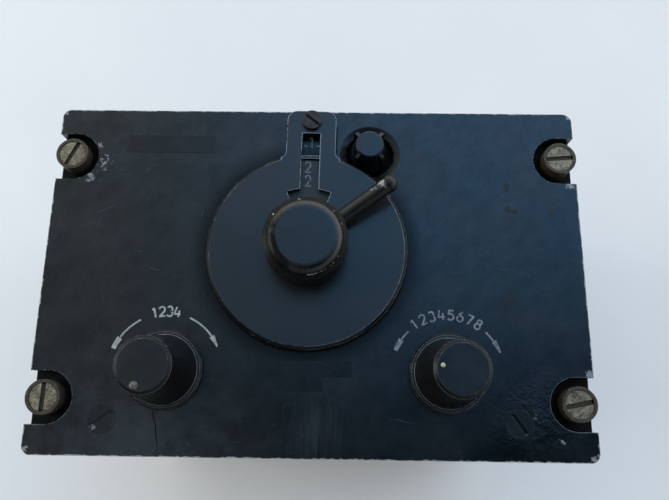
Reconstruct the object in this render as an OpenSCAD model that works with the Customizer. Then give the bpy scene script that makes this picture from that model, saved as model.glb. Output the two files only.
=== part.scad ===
// Rail-mounted cockpit radio: painted front panel with its controls, and the set behind it.
// The panel faces +Z, the upper edge of the panel is towards +Y, and the rear rim stands on Z = 0.

/* [Plates] */
// Width of the front plate and of the mounting plate behind it
plate_w = 146.05; // [145:0.05:152]
// Height of both plates
plate_h = 95.25; // [95:0.05:104]
// Radius of the plate corners
plate_corner_r = 2.5; // [1:0.1:4]
// Thickness of the painted front plate
front_plate_t = 4; // [3.4:0.1:5]
// Thickness of the mounting plate
mount_plate_t = 2.5; // [2:0.1:3.5]
// Sideways offset of the two side knobs from the middle of the plate
layout_x = -1.3; // [-2:0.1:1]
// Height of the two plate screws above the lower edge of the plate
plate_screw_up = 9.1; // [7:0.1:11]
// Distance from the side edge of the plate to a plate screw
plate_screw_edge = 19.675; // [17:0.025:23]
// Radius of a countersunk plate screw head
plate_screw_head_r = 3.3; // [2.8:0.1:4]
// Radius of a plate screw shank
plate_screw_r = 1.6; // [1.2:0.1:2]

/* [Quarter-turn fasteners] */
// Distance from the side edge of the plate to a fastener axis
stud_edge_x = 4.7625; // [4.5:0.0125:5.5]
// Distance from the upper or lower edge of the plate to a fastener axis
stud_edge_y = 14.2875; // [12:0.0125:17]
// Radius of the free end of the fastener shank
stud_r = 2.75; // [2.2:0.05:3.2]
// Radius of the fastener shank where it turns in its cup
stud_journal_r = 3.1; // [3:0.05:3.4]
// Length of the shank below the mounting plate
stud_reach = 10.5; // [9.6:0.1:12]
// Radius of the slotted fastener head
stud_head_r = 3.6; // [3.4:0.05:4]
// Thickness of the slotted fastener head
stud_head_t = 3; // [2:0.1:4]
// Width of the screwdriver slot
stud_slot_w = 1.2; // [0.8:0.1:1.6]
// Depth of the screwdriver slot
stud_slot_d = 1.3; // [0.8:0.1:1.6]
// Wall of the cup round the head
cup_wall = 0.8; // [0.7:0.01:1.6]
// Height of the cup above the face of the front plate
cup_proud = 2; // [1:0.1:3]
// Radius of the notch in the front plate round a fastener
notch_r = 6.8; // [6.2:0.1:7.5]
// Width of the wire gap in the tip of a fastener
cam_gap = 1.5; // [1.2:0.1:1.8]
// Rise of the wire gap over the quarter turn
cam_rise = 1.6; // [1:0.1:2]
// Thickness of the retaining ring under the plate
retainer_t = 0.8; // [0.6:0.1:1]

/* [Selector plate] */
// Sideways place of the selector axis
selector_x = -1.7; // [-2.4:0.1:-1]
// Distance from the upper edge of the plate to the selector axis
selector_drop = 41.225; // [40.6:0.025:43.6]
// Radius of the round cover
cover_r = 27; // [26:0.1:27.2]
// Height of the cover above the front plate
cover_h = 3.2; // [2.8:0.1:4]
// Thickness of the top of the cover
cover_top_t = 1.2; // [0.8:0.1:1.4]
// Thickness of the cover rim
cover_rim_t = 0.9; // [0.7:0.1:1.2]
// Width and height of the bevel round the cover
cover_bevel = 0.8; // [0.4:0.1:0.9]
// Turn of the cover about the selector axis as it is screwed on
cover_turn = -1.1; // [-2:0.1:2]
// Width of the tab at the top of the cover
tab_w = 13.7; // [12:0.1:14.5]
// Reach of the tab above the selector axis
tab_reach = 39.9; // [39:0.1:40.5]
// Radius of the tab corners
tab_corner_r = 2.7; // [1:0.1:4]
// Radius of the fillet between the cover and the tab
tab_fillet_r = 2; // [1:0.1:2.2]
// Width of the reading slot
slot_w = 5.1; // [4.5:0.1:6]
// Top of the reading slot above the selector axis
slot_top = 33.2; // [31:0.1:33.6]
// Outer radius of the wide foot of the slot
slot_foot_r = 16.9; // [15.5:0.1:18]
// Half angle of the wide foot of the slot
slot_foot_angle = 21; // [16:1:26]
// Height of the tab screw above the selector axis
tab_screw_up = 36.9; // [36.6:0.1:37]
// Radius of the tab screw head
tab_screw_head_r = 2.75; // [2:0.05:2.8]
// Height of the tab screw head
tab_screw_head_h = 1.1; // [0.8:0.1:1.5]

/* [Tuning controls] */
// Radius of the inner tuning shaft
inner_shaft_r = 2; // [1.5:0.1:2.2]
// Radius of the hollow crank shaft
outer_shaft_r = 3.175; // [3:0.025:3.6]
// Radius of the bush thread
bush_r = 4.76; // [4.5:0.02:5.4]
// Radius of the crank hub
hub_r = 10.6; // [9:0.1:10.8]
// Height of the crank hub
hub_h = 5.1; // [4.6:0.1:6]
// Radius of the crank hub neck that carries the dial
hub_neck_r = 8.2; // [7:0.1:9]
// Thickness of the dial
dial_t = 0.8; // [0.5:0.1:1]
// Gap between the front plate and the dial
dial_float = 0.75; // [0.5:0.05:0.8]
// Radius of the tuning knob rim
tuning_knob_r = 11; // [10.8:0.1:11.6]
// Radius of the flat top of the tuning knob
tuning_knob_top_r = 7.3; // [7:0.1:8.6]
// Height of the tuning knob
tuning_knob_h = 6.9; // [6.4:0.1:7.6]
// Height of the straight rim of the tuning knob
tuning_knob_rim_h = 4.5; // [3.6:0.1:4.8]
// Radius of the crease between the ledge and the dome of the tuning knob
tuning_crease_r = 9.7; // [9:0.1:10.4]
// Height of that crease
tuning_crease_h = 5.1; // [5:0.1:5.8]
// Number of shallow flutes round the tuning knob
tuning_flutes = 10; // [6:1:14]
// Depth of a flute
tuning_flute_d = 0.25; // [0.2:0.05:0.5]
// Direction of the crank arm, counted from +X
crank_angle = 35; // [30:1:40]
// Sideways offset of the crank arm from the line through its axis
crank_side = 0.7; // [0:0.1:1]
// Reach of the crank arm from its axis to the foot of the domed tip
crank_reach = 26.7; // [26:0.1:27]
// Rise of the crank arm from the hub to the tip
crank_rise = 3.4; // [3:0.1:4]
// Radius of the round crank arm
crank_r = 2.2; // [1.8:0.1:2.2]
// Radius of the domed tip
crank_tip_r = 2.4; // [2.2:0.1:2.5]

/* [Switch stack] */
// Radius of a switch wafer
wafer_r = 19; // [17:0.1:20]
// Thickness of a switch wafer
wafer_t = 1.6; // [1.2:0.1:2]
// Radius of a switch rotor
rotor_r = 8.9; // [7:0.1:10]
// Distance from the mounting plate to the first wafer
wafer_depth = 14.4; // [13:0.1:16]
// Distance between the two wafers
wafer_pitch = 12; // [10:0.1:13]
// Radius of the detent wheel
detent_r = 9; // [8:0.1:9.4]
// Number of positions on the detent wheel
detent_count = 18; // [12:1:20]
// Sideways distance between the tie rods
rod_pitch = 30; // [28:0.1:31]

/* [Lamp] */
// Sideways distance from the selector axis to the lamp
lamp_dx = 16.7; // [16.5:0.1:18]
// Distance from the upper edge of the plate to the lamp
lamp_drop = 13.025; // [11.6:0.025:13.1]
// Sideways offset of the dish from the lamp
dish_off = 0.4; // [0:0.1:0.6]
// Radius of the dish in the front plate
dish_r = 8.6; // [8:0.1:9.2]
// Radius of the hole in the middle of the dish
dish_hole_r = 6.8; // [6.2:0.1:7]
// Depth of the dish
dish_d = 0.6; // [0.4:0.1:2]
// Radius of the flat top of the lamp cap
lamp_cap_top_r = 3.8; // [3.6:0.1:4.4]
// Radius of the foot of the lamp cap
lamp_cap_r = 5.3; // [5:0.1:5.5]
// Height of the lamp cap above the face of the front plate
lamp_cap_h = 7.6; // [6.6:0.1:7.6]
// Reach of the four ribs of the lamp cap from its axis
lamp_rib_r = 5.6; // [5.4:0.1:5.7]
// Thickness of a rib
lamp_rib_t = 0.9; // [0.6:0.1:1.2]

/* [Side knobs] */
// Distance from the side edge of the plate to a side knob, before their common offset
knob_edge = 36.125; // [35:0.025:38]
// Height of the side knobs above the lower edge of the plate
knob_up = 21.625; // [19.6:0.025:23.6]
// Radius of the knob skirt
knob_skirt_r = 10.2; // [9.6:0.1:11]
// Radius at the foot of the knob taper
knob_foot_r = 8.8; // [8.2:0.1:9.4]
// Radius at the top of the knob taper
knob_top_r = 6.8; // [6.2:0.1:7.4]
// Height of a side knob
knob_h = 19.1; // [17:0.1:22]
// Radius of a potentiometer shaft
pot_shaft_r = 3.175; // [2.5:0.025:3.2]
// Radius of a potentiometer body
pot_r = 11; // [10:0.1:12]
// Length of a potentiometer body
pot_h = 12; // [10:0.1:14]
// Length of the power switch behind the volume potentiometer
power_switch_h = 10; // [8:0.1:12]

/* [Case] */
// Depth of the case behind the mounting plate
case_depth = 100; // [96:0.5:120]
// Gap between the case sleeve and the retaining rings of the fasteners
case_stud_gap = 0.9; // [0.5:0.1:3]
// Inset of the case sleeve from the upper and lower edges of the plate
case_inset = 3.6; // [2.6:0.1:4.2]
// Wall of the case sleeve
case_wall = 1.4; // [1:0.1:1.8]
// Corner radius of the case sleeve
case_corner_r = 4; // [3:0.1:6]
// Depth of the recess behind the rear plate
rear_recess = 12; // [11:0.1:14]
// Thickness of the sheet of the chassis sides and of the rear plate
chassis_t = 1.6; // [1.2:0.1:2]
// Height of a chassis side
chassis_side_h = 64; // [56:0.5:68]
// Width of the flanges of a chassis side
chassis_flange_w = 8; // [7:0.1:10]
// Radius of the lightening holes of a chassis side
chassis_hole_r = 12; // [8:0.5:13]

/* [Boards] */
// Width of the boards
board_w = 104; // [96:0.5:108]
// Height of the boards
board_h = 74; // [68:0.5:78]
// Thickness of the boards
board_t = 1.6; // [1.2:0.1:2]
// Distance from the rear plate to the transmitter board
first_board_gap = 16.4; // [14:0.1:18]
// Distance from the transmitter board to the receiver board
second_board_gap = 22.4; // [21:0.1:24]
// Radius of a board spacer
spacer_r = 3; // [2.4:0.1:3.5]

/* [Rear connectors] */
// Sideways place of the power connector
power_x = -20; // [-28:0.5:-16]
// Outer radius of the power connector shell
power_shell_r = 10.3; // [9.6:0.1:11]
// Wall of the power connector shell
power_shell_wall = 1.1; // [0.8:0.1:1.4]
// Side of the square power connector flange
power_flange = 27; // [26:0.1:29]
// Number of pins in the ring of the power connector
power_pins = 6; // [5:1:8]
// Radius of a power connector pin
power_pin_r = 0.8; // [0.5:0.05:1]
// Sideways place of the antenna jack
antenna_x = 26; // [22:0.5:34]
// Outer radius of the antenna jack barrel
antenna_r = 5.55; // [5:0.05:6]
// Wall of the antenna jack barrel
antenna_wall = 1.2; // [0.8:0.1:1.5]
// Thickness of both connector flanges
connector_flange_t = 2; // [1.5:0.1:2.5]
// Reach of both connectors behind the rear plate
connector_reach = 10; // [8:0.1:10.5]

/* [Hidden] */
$fn = 64;
// Overshoot of a cut past the face it opens
over = 0.5;
// Radial running clearance of a shaft in its bush
run_gap = 0.06;
// Radial clearance of a piece fastened on or in another
fit_gap = 0.05;
// Clearance between pieces that move past each other
move_gap = 0.3;
// Overlap of two shapes that make one solid
lap = 0.1;
// Gap past the end of a shaft in a blind bore
end_gap = 0.1;

mount_bottom_z = case_depth;
mount_top_z = mount_bottom_z + mount_plate_t;
face_z = mount_top_z + front_plate_t;
knob_x = plate_w / 2 - knob_edge;
knob_y = knob_up - plate_h / 2;
squelch_x = layout_x - knob_x;
volume_x = layout_x + knob_x;
selector_y = plate_h / 2 - selector_drop;
lamp_x = selector_x + lamp_dx;
lamp_y = plate_h / 2 - lamp_drop;
dish_x = lamp_x + dish_off;
plate_screw_x = plate_w / 2 - plate_screw_edge;
plate_screw_y = plate_screw_up - plate_h / 2;
stud_slot_angles = [65, 5, 89, 12];
stud_x = plate_w / 2 - stud_edge_x;
stud_y = plate_h / 2 - stud_edge_y;
stud_places = [
  [-stud_x, stud_y],
  [stud_x, stud_y],
  [-stud_x, -stud_y],
  [stud_x, -stud_y]
];
plate_screw_places = [for (s = [-1, 1]) [s * plate_screw_x, plate_screw_y]];
plate_slot_angles = [37, -55];
plate_slot_w = 0.9;
plate_slot_d = 0.9;
tab_slot_d = 0.7;
tab_slot_angle = -38;

// Levels of the fasteners
cup_top_z = face_z + cup_proud;
cup_bore_r = stud_head_r + run_gap;
cup_r = cup_bore_r + cup_wall;
stud_head_drop = 0.2;
cup_spigot_r = stud_journal_r + run_gap + cup_wall;
stud_head_top_z = cup_top_z - stud_head_drop;
stud_head_bottom_z = stud_head_top_z - stud_head_t;
cup_floor_t = 0.6;
cup_floor_z = mount_top_z + cup_floor_t;
stud_groove_d = 0.45;
stud_groove_r = stud_r - stud_groove_d;
stud_groove_gap = 0.1;
stud_tip_z = mount_bottom_z - stud_reach;
stud_tip_chamfer = 0.6;
cam_seat_depth = 3.6;
retainer_rim = 1.6;

// Levels of the tuning stack
cover_pocket_h = cover_h - cover_top_t;
cover_pocket_r = cover_r - cover_rim_t;
dial_gap = 0.4;
dial_r = cover_pocket_r - dial_gap;
dial_bottom_z = face_z + dial_float;
dial_top_z = dial_bottom_z + dial_t;
cover_collar_w = 2;
fillet_bite = 0.02;
slot_foot_inner_r = hub_neck_r + 2 * move_gap + cover_collar_w;
hub_bottom_z = face_z + cover_h + move_gap;
hub_top_z = hub_bottom_z + hub_h;
tuning_knob_z = hub_top_z + move_gap;
tuning_knob_roof = 1.5;
tuning_bore_d = tuning_knob_h - tuning_knob_roof;
tuning_knob_edge = 0.4;
flute_r = 4;
hub_edge = 0.4;
shaft_tail = 2;
shaft_drop = 0.2;
inner_bore_r = inner_shaft_r + run_gap;
bush_bore_r = outer_shaft_r + run_gap;
bush_flange_t = 2;
bush_flange_end = 4;
bush_flange_w = rod_pitch + 2 * bush_flange_end;
bush_flange_h = 20;
bush_flange_corner_r = 3;
nut_t = 2.2;
thread_proud = 0.1;
bush_top_z = mount_top_z + nut_t + thread_proud;
nut_rim = 3.2;
nut_r = bush_r + nut_rim;
nut_room = 1;
nut_hole_r = nut_r + nut_room;
wafer_top_z = mount_bottom_z - wafer_depth;
second_wafer_top_z = wafer_top_z - wafer_pitch;
rotor_over = 0.1;
rotor_gap = 0.4;
rotor_boss_t = 2;
rotor_boss_h = 1;
rotor_hole_r = 1;
rotor_hole_ring_r = rotor_r * 0.68;
wafer_bore_r = rotor_r + rotor_gap;
wafer_eyelet_r = 0.7;
wafer_eyelet_in = 2.2;
rod_r = 1.2;
rod_spacer_r = 2.2;
rod_nut_t = 2;
detent_t = 2;
detent_drop = 4;
detent_top_z = mount_bottom_z - bush_flange_t - detent_drop;
detent_notch_r = 0.9;
detent_notch_out = 0.2;
detent_roller_r = 1.2;
detent_leaf_t = 0.8;
detent_leaf_w = 6;
set_screw_r = 1.2;
set_screw_len = 3.4;
set_screw_slot_w = 0.5;
set_screw_slot_d = 0.7;
set_screw_floor = 0.6;
tuning_screw_up = set_screw_r + set_screw_floor;

// Sloping axis of the crank arm
crank_root_z = hub_bottom_z + hub_h / 2;
crank_root_in = 1;
crank_root = hub_r - crank_root_in;
crank_run = crank_reach - crank_root;
crank_len = sqrt(crank_run * crank_run + crank_rise * crank_rise);
crank_tilt = atan2(crank_rise, crank_run);
crank_stem_r = 1.2;
crank_stem_len = 4;

// Levels of the lamp
lamp_sleeve_r = 3.4;
lamp_sleeve_wall = 0.7;
lamp_bulb_r = lamp_sleeve_r - lamp_sleeve_wall - fit_gap;
lamp_body_r = 5.4;
lamp_body_h = 14;
lamp_flange_r = 7;
lamp_flange_t = 2.5;
lamp_cap_roof = 2;
lamp_rib_h = 5.6;
lamp_rib_root = 1;
lamp_rib_edge = 0.5;
lamp_cap_edge = 0.3;
lamp_bulb_gap = 0.6;

// Levels of the side knobs
knob_gap = 0.5;
knob_bottom_z = face_z + knob_gap;
knob_skirt_h = 1.6;
knob_foot_h = 2.7;
knob_skirt_bevel = 0.5;
knob_foot_flare = 0.2;
knob_bevel_w = 0.8;
knob_bevel_h = 0.6;
knob_recess_r = 7.4;
knob_recess_h = 1.5;
knob_bore_d = 14;
knob_screw_up = 5.5;
pot_bush_top_z = bush_top_z;
pot_bore_d = 6;
pot_tag = [2, 6, 0.8];
pot_tag_pitch = 5;
pot_tag_in = 2;
pot_tag_drop = 4;
power_switch_rim = 1;
power_switch_tag = [2, 0.8, 5];
power_switch_tag_x = 4;

// Levels of the case
rear_plate_z = rear_recess;
rear_plate_top_z = rear_plate_z + chassis_t;
case_w = 2 * (stud_x - stud_r - retainer_rim - case_stud_gap);
case_h = plate_h - 2 * case_inset;
case_in_w = case_w - 2 * case_wall;
case_in_h = case_h - 2 * case_wall;
slide_gap = 0.2;
chassis_x = case_in_w / 2 - slide_gap;
rear_plate_w = case_in_w - 2 * slide_gap;
rear_plate_h = case_in_h - 2 * slide_gap;
case_screw_r = 1.4;
case_screw_head_r = 2.6;
case_screw_head_h = 1.5;
case_screw_rear = 12;
case_screw_front = 14;
case_screw_zs = [rear_plate_top_z + case_screw_rear, mount_bottom_z - case_screw_front];
case_screw_in = 6;
case_screw_y = chassis_side_h / 2 - case_screw_in;
chassis_screw_in = 8;
chassis_screw_y = chassis_side_h / 2 - chassis_screw_in;
chassis_screw_x = chassis_x - (chassis_flange_w + chassis_t) / 2;
chassis_screw_short = 0.4;
pan_slot_w = 0.8;
pan_slot_d = 0.8;

// Levels of the boards
first_board_z = rear_plate_top_z + first_board_gap;
second_board_z = first_board_z + board_t + second_board_gap;
second_board_top_z = second_board_z + board_t;
board_corner_r = 2;
spacer_in = 6;
spacer_x = board_w / 2 - spacer_in;
spacer_y = board_h / 2 - spacer_in;
spacer_stub_r = 1.5;
spacer_nut_t = 2;
can_w = 10;
can_h = 8;
can_wall = 0.6;
can_corner_r = 1;
can_hole_r = 1.6;
can_count = 5;
can_pitch = 14;
can_row_y = -24;
crystal_w = 8;
crystal_t = 4;
crystal_h = 9;
crystal_count = 8;
crystal_pitch = 6.4;
crystal_y = 30;
core_w = 30;
core_d = 10;
core_h = 18;
coil_d = 20;
coil_w = 18;
coil_in = 2.5;
relay_size = [20, 15, 14];
relay_corner_r = 1.5;
relay_place = [26, 14];
core_place = [-26, 12];

// Levels of the connectors
flange_bottom_z = rear_plate_z - connector_flange_t;
connector_end_z = rear_plate_z - connector_reach;
power_inner_r = power_shell_r - power_shell_wall;
power_insert_r = power_inner_r - fit_gap;
power_back = 8;
power_insert_drop = 3;
power_pin_ring_r = 5;
power_key_w = 2;
power_key_d = 0.8;
power_key_len = 3;
power_flange_corner_r = 2;
power_screw_in = 3;
power_screw_pitch = power_flange - 2 * power_screw_in;
power_screw_head_less = 0.4;
power_pin_drop = 0.6;
power_pin_tail = 3;
antenna_bore_r = antenna_r - antenna_wall;
antenna_flange_rim = 2.6;
antenna_flange_r = antenna_r + antenna_flange_rim;
antenna_back = 6;
antenna_insulator_drop = 3;
antenna_contact_r = 0.7;
antenna_contact_drop = 0.8;
antenna_contact_z = connector_end_z + antenna_contact_drop;
antenna_tail = 2;

paint_black = "#1f242d";
knob_black = "#17181a";
tarnished_steel = "#8a8378";
bare_metal = "#b9bcbf";
brass_tone = "#b08d4c";
board_tone = "#6b7f3f";
insulator_tone = "#8c5a34";

// Outline of a rectangle with round corners
module round_rect(w, h, r) {
  square([w - 2 * r, h], center = true);
  square([w, h - 2 * r], center = true);
  for (sx = [-1, 1], sy = [-1, 1])
    translate([sx * (w / 2 - r), sy * (h / 2 - r)])
      circle(r);
}

// Upright tube between two levels
module tube(r, bore, z0, z1) {
  translate([0, 0, z0])
    difference() {
      cylinder(r = r, h = z1 - z0);
      translate([0, 0, -over])
        cylinder(r = bore, h = z1 - z0 + 2 * over);
    }
}

// Upright rod between two levels
module rod(r, z0, z1) {
  translate([0, 0, z0])
    cylinder(r = r, h = z1 - z0);
}

// Screwdriver slot cut down into a head whose top is at z
module driver_slot(z, r, w, d, angle) {
  translate([0, 0, z - d])
    rotate(angle)
      translate([-r - over, -w / 2, 0])
        cube([2 * (r + over), w, d + over]);
}

// Hexagon nut on a mounting plate bush
module hex_nut(bore) {
  difference() {
    translate([0, 0, mount_top_z])
      cylinder(r = nut_r, h = nut_t, $fn = 6);
    rod(bore, mount_top_z - over, mount_top_z + nut_t + over);
  }
}

// Countersunk head and shank, grown by a clearance to cut its own hole
module countersunk(top_z, head_r, r, bottom_z, gap) {
  rotate_extrude()
    polygon([
      [0, top_z], [head_r + gap, top_z],
      [r + gap, top_z - head_r + r], [r + gap, bottom_z], [0, bottom_z]
    ]);
}

// Pan head screw pointing along +Z with the underside of its head at the origin
module pan_screw(head_r, head_h, r, length, angle) {
  difference() {
    union() {
      translate([0, 0, -head_h])
        cylinder(r = head_r, h = head_h);
      cylinder(r = r, h = length);
    }
    translate([0, 0, -head_h])
      rotate(angle)
        translate([-head_r - over, -pan_slot_w / 2, -over])
          cube([2 * (head_r + over), pan_slot_w, over + pan_slot_d]);
  }
}

// Slotted set screw that bears on a shaft from the +Y side
module set_screw(shaft_r, z) {
  translate([0, shaft_r + fit_gap + set_screw_len, z])
    rotate([90, 0, 0])
      difference() {
        cylinder(r = set_screw_r, h = set_screw_len);
        translate([-set_screw_r, -set_screw_slot_w / 2, -over])
          cube([2 * set_screw_r, set_screw_slot_w, set_screw_slot_d + over]);
      }
}

// Hole for a set screw, from the shaft out through the side of a knob
module set_screw_hole(reach, z) {
  translate([0, reach + over, z])
    rotate([90, 0, 0])
      cylinder(r = set_screw_r + fit_gap, h = reach + over);
}

// Notch open to the side of the front plate round one fastener
module side_notch(place) {
  side = sign(place[0]);
  translate([place[0], place[1], mount_top_z - over]) {
    cylinder(r = notch_r, h = front_plate_t + 2 * over);
    translate([side > 0 ? 0 : -plate_w, -notch_r, 0])
      cube([plate_w, 2 * notch_r, front_plate_t + 2 * over]);
  }
}

// Painted front plate with its notches, control holes and lamp dish
module front_plate() {
  color(paint_black)
    difference() {
      translate([0, 0, mount_top_z])
        linear_extrude(front_plate_t)
          round_rect(plate_w, plate_h, plate_corner_r);
      for (place = stud_places)
        side_notch(place);
      for (x = [squelch_x, volume_x])
        translate([x, knob_y, 0])
          rod(nut_hole_r, mount_top_z - over, face_z + over);
      translate([selector_x, selector_y, 0]) {
        rod(nut_hole_r, mount_top_z - over, face_z + over);
        rotate(cover_turn)
          translate([0, tab_screw_up, 0])
            rod(plate_screw_r + fit_gap, mount_top_z - over, face_z + over);
      }
      translate([dish_x, lamp_y, 0]) {
        rod(dish_hole_r, mount_top_z - over, face_z + over);
        translate([0, 0, face_z - dish_d])
          cylinder(r1 = dish_hole_r, r2 = dish_r, h = dish_d);
        rod(dish_r, face_z, face_z + over);
      }
      for (place = plate_screw_places)
        translate([place[0], place[1], 0])
          countersunk(face_z, plate_screw_head_r, plate_screw_r, mount_top_z - over, fit_gap);
    }
}

// Flat mounting plate that carries the controls, the chassis and the fasteners
module mounting_plate() {
  low = mount_bottom_z - over;
  high = mount_top_z + over;
  color("#2b2f36")
    difference() {
      translate([0, 0, mount_bottom_z])
        linear_extrude(mount_plate_t)
          round_rect(plate_w, plate_h, plate_corner_r);
      for (place = stud_places)
        translate([place[0], place[1], 0])
          rod(cup_spigot_r + fit_gap, low, high);
      for (x = [squelch_x, volume_x])
        translate([x, knob_y, 0])
          rod(bush_r + fit_gap, low, high);
      translate([selector_x, selector_y, 0]) {
        rod(bush_r + fit_gap, low, high);
        rotate(cover_turn)
          translate([0, tab_screw_up, 0])
            rod(plate_screw_r + fit_gap, low, high);
      }
      translate([lamp_x, lamp_y, 0])
        rod(lamp_sleeve_r + fit_gap, low, high);
      for (place = plate_screw_places)
        translate([place[0], place[1], 0])
          rod(plate_screw_r + fit_gap, low, high);
      for (sx = [-1, 1], sy = [-1, 1])
        translate([sx * chassis_screw_x, sy * chassis_screw_y, 0])
          rod(case_screw_r + fit_gap, low, high);
    }
}

// Two countersunk screws between the front plate and the mounting plate
module plate_screws() {
  color(paint_black)
    for (i = [0, 1])
      translate([plate_screw_places[i][0], plate_screw_places[i][1], 0])
        difference() {
          countersunk(face_z, plate_screw_head_r, plate_screw_r, mount_bottom_z, 0);
          driver_slot(face_z, plate_screw_head_r, plate_slot_w, plate_slot_d, plate_slot_angles[i]);
        }
}

// Round cover with its bevelled edge, before it is hollowed
module cover_disc() {
  rotate_extrude()
    polygon([
      [0, 0], [cover_r, 0], [cover_r, cover_h - cover_bevel],
      [cover_r - cover_bevel, cover_h], [0, cover_h]
    ]);
}

// Outline of the tab and of the fillets that run into the round cover
module tab_outline() {
  fillet_x = tab_w / 2 + tab_fillet_r;
  fillet_reach = cover_r + tab_fillet_r;
  fillet_y = sqrt(fillet_reach * fillet_reach - fillet_x * fillet_x);
  translate([0, tab_reach / 2])
    square([tab_w - 2 * tab_corner_r, tab_reach], center = true);
  translate([0, (tab_reach - tab_corner_r) / 2])
    square([tab_w, tab_reach - tab_corner_r], center = true);
  for (s = [-1, 1]) {
    translate([s * (tab_w / 2 - tab_corner_r), tab_reach - tab_corner_r])
      circle(tab_corner_r);
    difference() {
      polygon([
        [0, 0], [s * fillet_x * cover_r / fillet_reach, fillet_y * cover_r / fillet_reach],
        [s * fillet_x, fillet_y], [s * tab_w / 2, fillet_y], [0, fillet_y]
      ]);
      translate([s * fillet_x, fillet_y])
        circle(tab_fillet_r + fillet_bite);
    }
  }
}

// Wide foot of the reading slot, a piece of a ring
module slot_foot() {
  wide = 2 * slot_foot_r;
  intersection() {
    difference() {
      circle(slot_foot_r);
      circle(slot_foot_inner_r);
    }
    polygon([
      [0, 0],
      [-wide * sin(slot_foot_angle), wide * cos(slot_foot_angle)],
      [wide * sin(slot_foot_angle), wide * cos(slot_foot_angle)]
    ]);
  }
}

// Round cover over the dial, with the reading slot and the fixing tab
module selector_plate() {
  color(paint_black)
    translate([selector_x, selector_y, face_z])
      rotate(cover_turn)
        difference() {
          union() {
            cover_disc();
            linear_extrude(cover_h)
              tab_outline();
          }
          translate([0, 0, -over])
            cylinder(r = cover_pocket_r, h = cover_pocket_h + over);
          cylinder(r = hub_neck_r + move_gap, h = cover_h + over);
          translate([0, 0, cover_pocket_h])
            linear_extrude(cover_top_t + over) {
              slot_foot();
              translate([-slot_w / 2, slot_foot_inner_r])
                square([slot_w, slot_top - slot_foot_inner_r]);
            }
          translate([-slot_w / 2, cover_r, -over])
            cube([slot_w, slot_top - cover_r, cover_h + 2 * over]);
          translate([0, tab_screw_up, -over])
            cylinder(r = plate_screw_r + fit_gap, h = cover_h + 2 * over);
        }
}

// Slotted screw through the tab into both plates
module selector_plate_screw() {
  top_z = face_z + cover_h + tab_screw_head_h;
  color(tarnished_steel)
    translate([selector_x, selector_y, 0])
      rotate(cover_turn)
        translate([0, tab_screw_up, 0])
          difference() {
            union() {
              rod(plate_screw_r, mount_bottom_z, top_z);
              rod(tab_screw_head_r, face_z + cover_h, top_z);
            }
            driver_slot(top_z, tab_screw_head_r, plate_slot_w, tab_slot_d, tab_slot_angle);
          }
}

// Tuning knob with a straight fluted rim, a sloping ledge and a dome round its flat top
module tuning_knob() {
  dome_h = tuning_knob_h - tuning_crease_h;
  dome_r = tuning_crease_r - tuning_knob_top_r;
  color(knob_black)
    translate([selector_x, selector_y, tuning_knob_z])
      difference() {
        rotate_extrude()
          polygon([
            [0, 0], [tuning_knob_r - tuning_knob_edge, 0], [tuning_knob_r, tuning_knob_edge],
            [tuning_knob_r, tuning_knob_rim_h],
            for (a = [0:15:90])
              [tuning_knob_top_r + dome_r * cos(a), tuning_crease_h + dome_h * sin(a)],
            [0, tuning_knob_h]
          ]);
        for (i = [0:tuning_flutes - 1])
          rotate(360 * (i + 0.5) / tuning_flutes)
            translate([tuning_knob_r + flute_r - tuning_flute_d, 0, -over])
              cylinder(r = flute_r, h = tuning_knob_h + 2 * over);
        translate([0, 0, -over])
          cylinder(r = inner_shaft_r + fit_gap, h = tuning_bore_d + over);
        set_screw_hole(tuning_knob_r, tuning_screw_up);
      }
}

// Set screw of the tuning knob
module tuning_knob_screw() {
  color(tarnished_steel)
    translate([selector_x, selector_y, tuning_knob_z])
      set_screw(inner_shaft_r, tuning_screw_up);
}

// Inner shaft from the tuning knob to the second rotor
module tuning_shaft() {
  color(bare_metal)
    translate([selector_x, selector_y, 0])
      rod(
        inner_shaft_r, second_wafer_top_z - wafer_t - shaft_tail,
        tuning_knob_z + tuning_bore_d - end_gap
      );
}

// Switch rotor with its contact tongue
module switch_rotor(bore, top_z) {
  translate([selector_x, selector_y, 0])
    difference() {
      union() {
        rod(rotor_r, top_z - wafer_t - rotor_over, top_z + rotor_over);
        rod(bore + rotor_boss_t, top_z - wafer_t - rotor_boss_h, top_z + rotor_boss_h);
      }
      rod(bore, top_z - wafer_t - rotor_boss_h - over, top_z + rotor_boss_h + over);
      for (i = [0:3])
        rotate(90 * i + 45)
          translate([rotor_hole_ring_r, 0, 0])
            rod(rotor_hole_r, top_z - wafer_t - over, top_z + over);
    }
}

// Rotor turned by the tuning knob
module kilohertz_rotor() {
  color(insulator_tone)
    switch_rotor(inner_shaft_r + fit_gap, second_wafer_top_z);
}

// Rotor turned by the crank
module megahertz_rotor() {
  color(insulator_tone)
    switch_rotor(outer_shaft_r + fit_gap, wafer_top_z);
}

// Cylinder on the sloping axis of the crank arm, between two distances from its root
module crank_rod(r, from, to) {
  translate([selector_x, selector_y, crank_root_z])
    rotate(crank_angle)
      translate([crank_root, crank_side, 0])
        rotate([0, 90 - crank_tilt, 0])
          translate([0, 0, from])
            cylinder(r = r, h = to - from);
}

// Ball on that axis, as the dome of the tip before it is cut flat
module crank_ball() {
  translate([selector_x, selector_y, crank_root_z])
    rotate(crank_angle)
      translate([crank_root, crank_side, 0])
        rotate([0, 90 - crank_tilt, 0])
          translate([0, 0, crank_len])
            sphere(crank_tip_r);
}

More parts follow.
